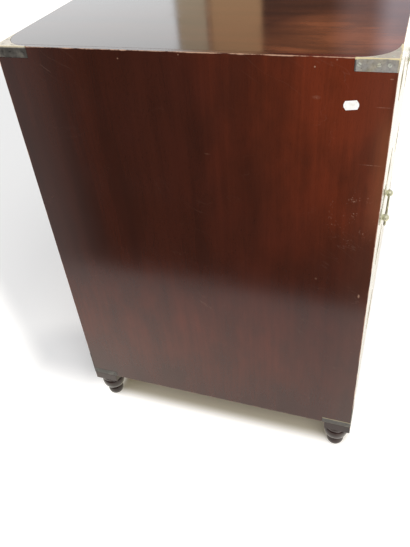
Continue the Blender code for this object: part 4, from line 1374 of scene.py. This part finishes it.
# %% Floor: the room in the polish
NEAR_FLOOR, FAR_FLOOR = 0.466, 0.540
GLARE_X, GLARE_Y, GLARE_BEARINGS = 0.283, -0.333, (33.2, 41.2)
DIM_FLOOR, GLARING_FLOOR = shade(74, 70, 66), shade(232, 230, 228)
MIRRORED_FALL, MIRRORED_DEPTH = (0.02, 0.52, 0.58, 0.06), (-0.30, 0.45, 0.60, 1.10)
MIRRORED_FRONT = (FRONT_Y + 0.01, FRONT_Y - 0.03, 1.0, 2.4)
floor_paint, shader = new_material("floor_paint")
spot = place("TexCoord")["Object"]
where = apart(spot)
ray = place("LightPath")
past_right = sums("MINIMUM", less(where[0], RIGHT_X), less(where[1], FRONT_Y))
past_end = sums("MAXIMUM", less(LEFT_X, where[0]), past_right)
far = fade(past_end, NEAR_FLOOR, FAR_FLOOR)
across, along = less(GLARE_X, where[0]), less(where[1], GLARE_Y)
glare = fade(sums("DEGREES", sums("ARCTAN2", along, across)), *GLARE_BEARINGS)
room = blend(glare, DIM_FLOOR, GLARING_FLOOR)
mirrored = times(less(1.0, far), ray["Is Glossy Ray"], fade(past_end, *MIRRORED_FALL))
mirrored = times(mirrored, fade(where[1], *MIRRORED_DEPTH), fade(where[1], *MIRRORED_FRONT))
print("near floor ends at", NEAR_FLOOR, "to", FAR_FLOOR)

# %% [markdown]
# The chest keeps light from the floor under it, where the shade is yellowish, and from a
# streak that runs away behind it. The lamp's own shadow would be too faint under a lifted
# floor, so both shades are taken off the lift again.

# %% Floor: its shade and its paint
FLOOR_HALF, FLOOR_ROUGHNESS = 7, 0.9
SHADE_INSET, SHADE_EDGE, SEEN_LIFT = 0.048, 0.044, 0.60
SHADE_FLOOR, WHITE_FLOOR = shade(214, 205, 182), shade(251, 251, 251)
DRIFT_FROM, DRIFT = 0.55, 0.8
BEHIND_LEFT, BEHIND_FROM, BEHIND_TO = (-0.57, -0.41), (0.30, 0.40), (2.0, 2.9, 1.0, 0.0)
BEHIND_SLANT, BEHIND_RIGHT, BEHIND_DARK = -1.25, (-0.88, -0.15, 1.0, 0.0), (0.50, 0.85, 0.80, 0.98)
FAR_LIFT = (1.7, 3.0, 0.0, 0.10)
BACK_SHADE, BACK_DARK = ((-0.39, 0.44, 0.0), (0.15, 0.28, 1.0)), -0.15
SEEN_WARMTH, MIRRORED_WARMTH = (1.0, 0.96, 0.90, 1), (1.0, 0.95, 0.77, 1)
inset = (RIGHT_X - SHADE_INSET, BACK_Y - SHADE_INSET, 0.0)
outside = vectors("MAXIMUM", vectors("SUBTRACT", vectors("ABSOLUTE", spot), inset), (0.0, 0.0, 0.0))
lit = fade(length(outside), 0.0, SHADE_EDGE)
drift = times(sums("MAXIMUM", less(where[1], DRIFT_FROM), 0.0), DRIFT)
behind = times(
    fade(less(where[0], drift), *BEHIND_LEFT),
    fade(more(where[0], where[1], BEHIND_SLANT), *BEHIND_RIGHT),
    fade(where[1], *BEHIND_FROM),
    fade(where[1], *BEHIND_TO),
    fade(where[1], *BEHIND_DARK),
)
seen = times(less(lit, behind), SEEN_LIFT)
seen = more(sums("ADD", seen, fade(where[1], *FAR_LIFT)), near_place(spot, *BACK_SHADE), BACK_DARK)
seen = times(seen, ray["Is Camera Ray"])
paint = blend(lit, SHADE_FLOOR, WHITE_FLOOR)
plug(shader, {
    "Base Color": blend(times(far, ray["Is Glossy Ray"]), paint, room),
    "Roughness": FLOOR_ROUGHNESS,
    "Specular IOR Level": 0.0,
    "Emission Color": blend(ray["Is Glossy Ray"], SEEN_WARMTH, MIRRORED_WARMTH),
    "Emission Strength": sums("ADD", seen, mirrored),
})
floor_shape = bmesh.new()
bmesh.ops.create_grid(floor_shape, x_segments=1, y_segments=1, size=FLOOR_HALF)
floor = add_object("floor", floor_shape, floor_paint)
print("floor nodes", len(floor_paint.node_tree.nodes))

# %% [markdown]
# The sky lights the chest evenly, and the camera sees it white. Gloss rays see a room
# instead. Screens could be set up round the chest, but they would throw shade and stand
# in other views, so the room is painted on the sky: each band lies between two bearings,
# up to one height, with soft edges. The first band is the glare, and the next three are
# the warm light beside it.

# %% Sky
SKY_LEVEL = 0.80
DIM_ROOM, BRIGHT_CEILING, CEILING_SPAN = (0.060, 0.055, 0.052, 1), (0.75, 0.75, 0.75, 1), (20, 60)
MIRRORED_TOP = (40.0, 44.0, 1.0, 0.0)
MIRRORED_ROOM = [  # bearings of its start and end, how soft they are, and its colour
    (22.6, 54.0, 0.6, (1.97, 2.03, 2.05, 1)),
    (19.8, 22.6, 0.3, (0.88, 0.74, 0.53, 1)),
    (19.45, 19.85, 0.15, (0.62, 0.40, 0.26, 1)),
    (14.6, 19.45, 0.3, (0.90, 0.56, 0.31, 1)),
    (3.4, 7.2, 1.4, (0.28, 0.24, 0.25, 1)),
    (-9.0, 3.6, 1.2, (0.92, 0.86, 0.96, 1)),
    (-62.0, -20.0, 4.0, (0.80, 0.82, 0.88, 1)),
]
sky = bpy.data.worlds.new("sky")
bpy.context.scene.world = sky
sky.use_nodes = True
open_tree(sky.node_tree)
ray = place("LightPath")
direction = apart(place("TexCoord")["Generated"])
bearing = sums("DEGREES", sums("ARCTAN2", direction[1], direction[0]))
height = sums("DEGREES", sums("ARCSINE", direction[2]))
low_enough = fade(height, *MIRRORED_TOP)
mirrored = blend(fade(height, *CEILING_SPAN), DIM_ROOM, BRIGHT_CEILING)
for start, end, soft, colour in MIRRORED_ROOM:
    share = times(fade(bearing, start - soft, start + soft), low_enough)
    share = times(share, fade(bearing, end - soft, end + soft, 1.0, 0.0))
    mirrored = blend(share, mirrored, colour)
level = blend(ray["Is Glossy Ray"], (SKY_LEVEL, SKY_LEVEL, SKY_LEVEL, 1), mirrored)
level = blend(ray["Is Camera Ray"], level, (1, 1, 1, 1))
plug(sky.node_tree.nodes["Background"], {"Color": level})
print("bands in the room", len(MIRRORED_ROOM))

# %% [markdown]
# One large square lamp stands high at the left front. It is there for form: without it
# the sky alone would leave the turned feet and the handles without a lighter side. A sun
# would do too, but its shadow is harder than a window's.

# %% Lamp
LAMP_PLACE, LAMP_SIZE, LAMP_WATTS = Vector((-2.6, -1.6, 3.2)), 2.0, 55
light = bpy.data.lights.new("key_lamp", "AREA")
light.shape = "SQUARE"
light.size = LAMP_SIZE
light.energy = LAMP_WATTS
lamp = bpy.data.objects.new("key_lamp", light)
lamp.location = LAMP_PLACE
lamp.rotation_euler = (CASE_MIDDLE - LAMP_PLACE).to_track_quat("-Z", "Y").to_euler()
lamp.visible_camera = False
bpy.context.scene.collection.objects.link(lamp)
print("lamp", LAMP_WATTS, "watts")

# %% [markdown]
# The view transform stays plain, so a colour renders about as it is written.

# %% Finish
bpy.context.scene.view_settings.view_transform = "Standard"
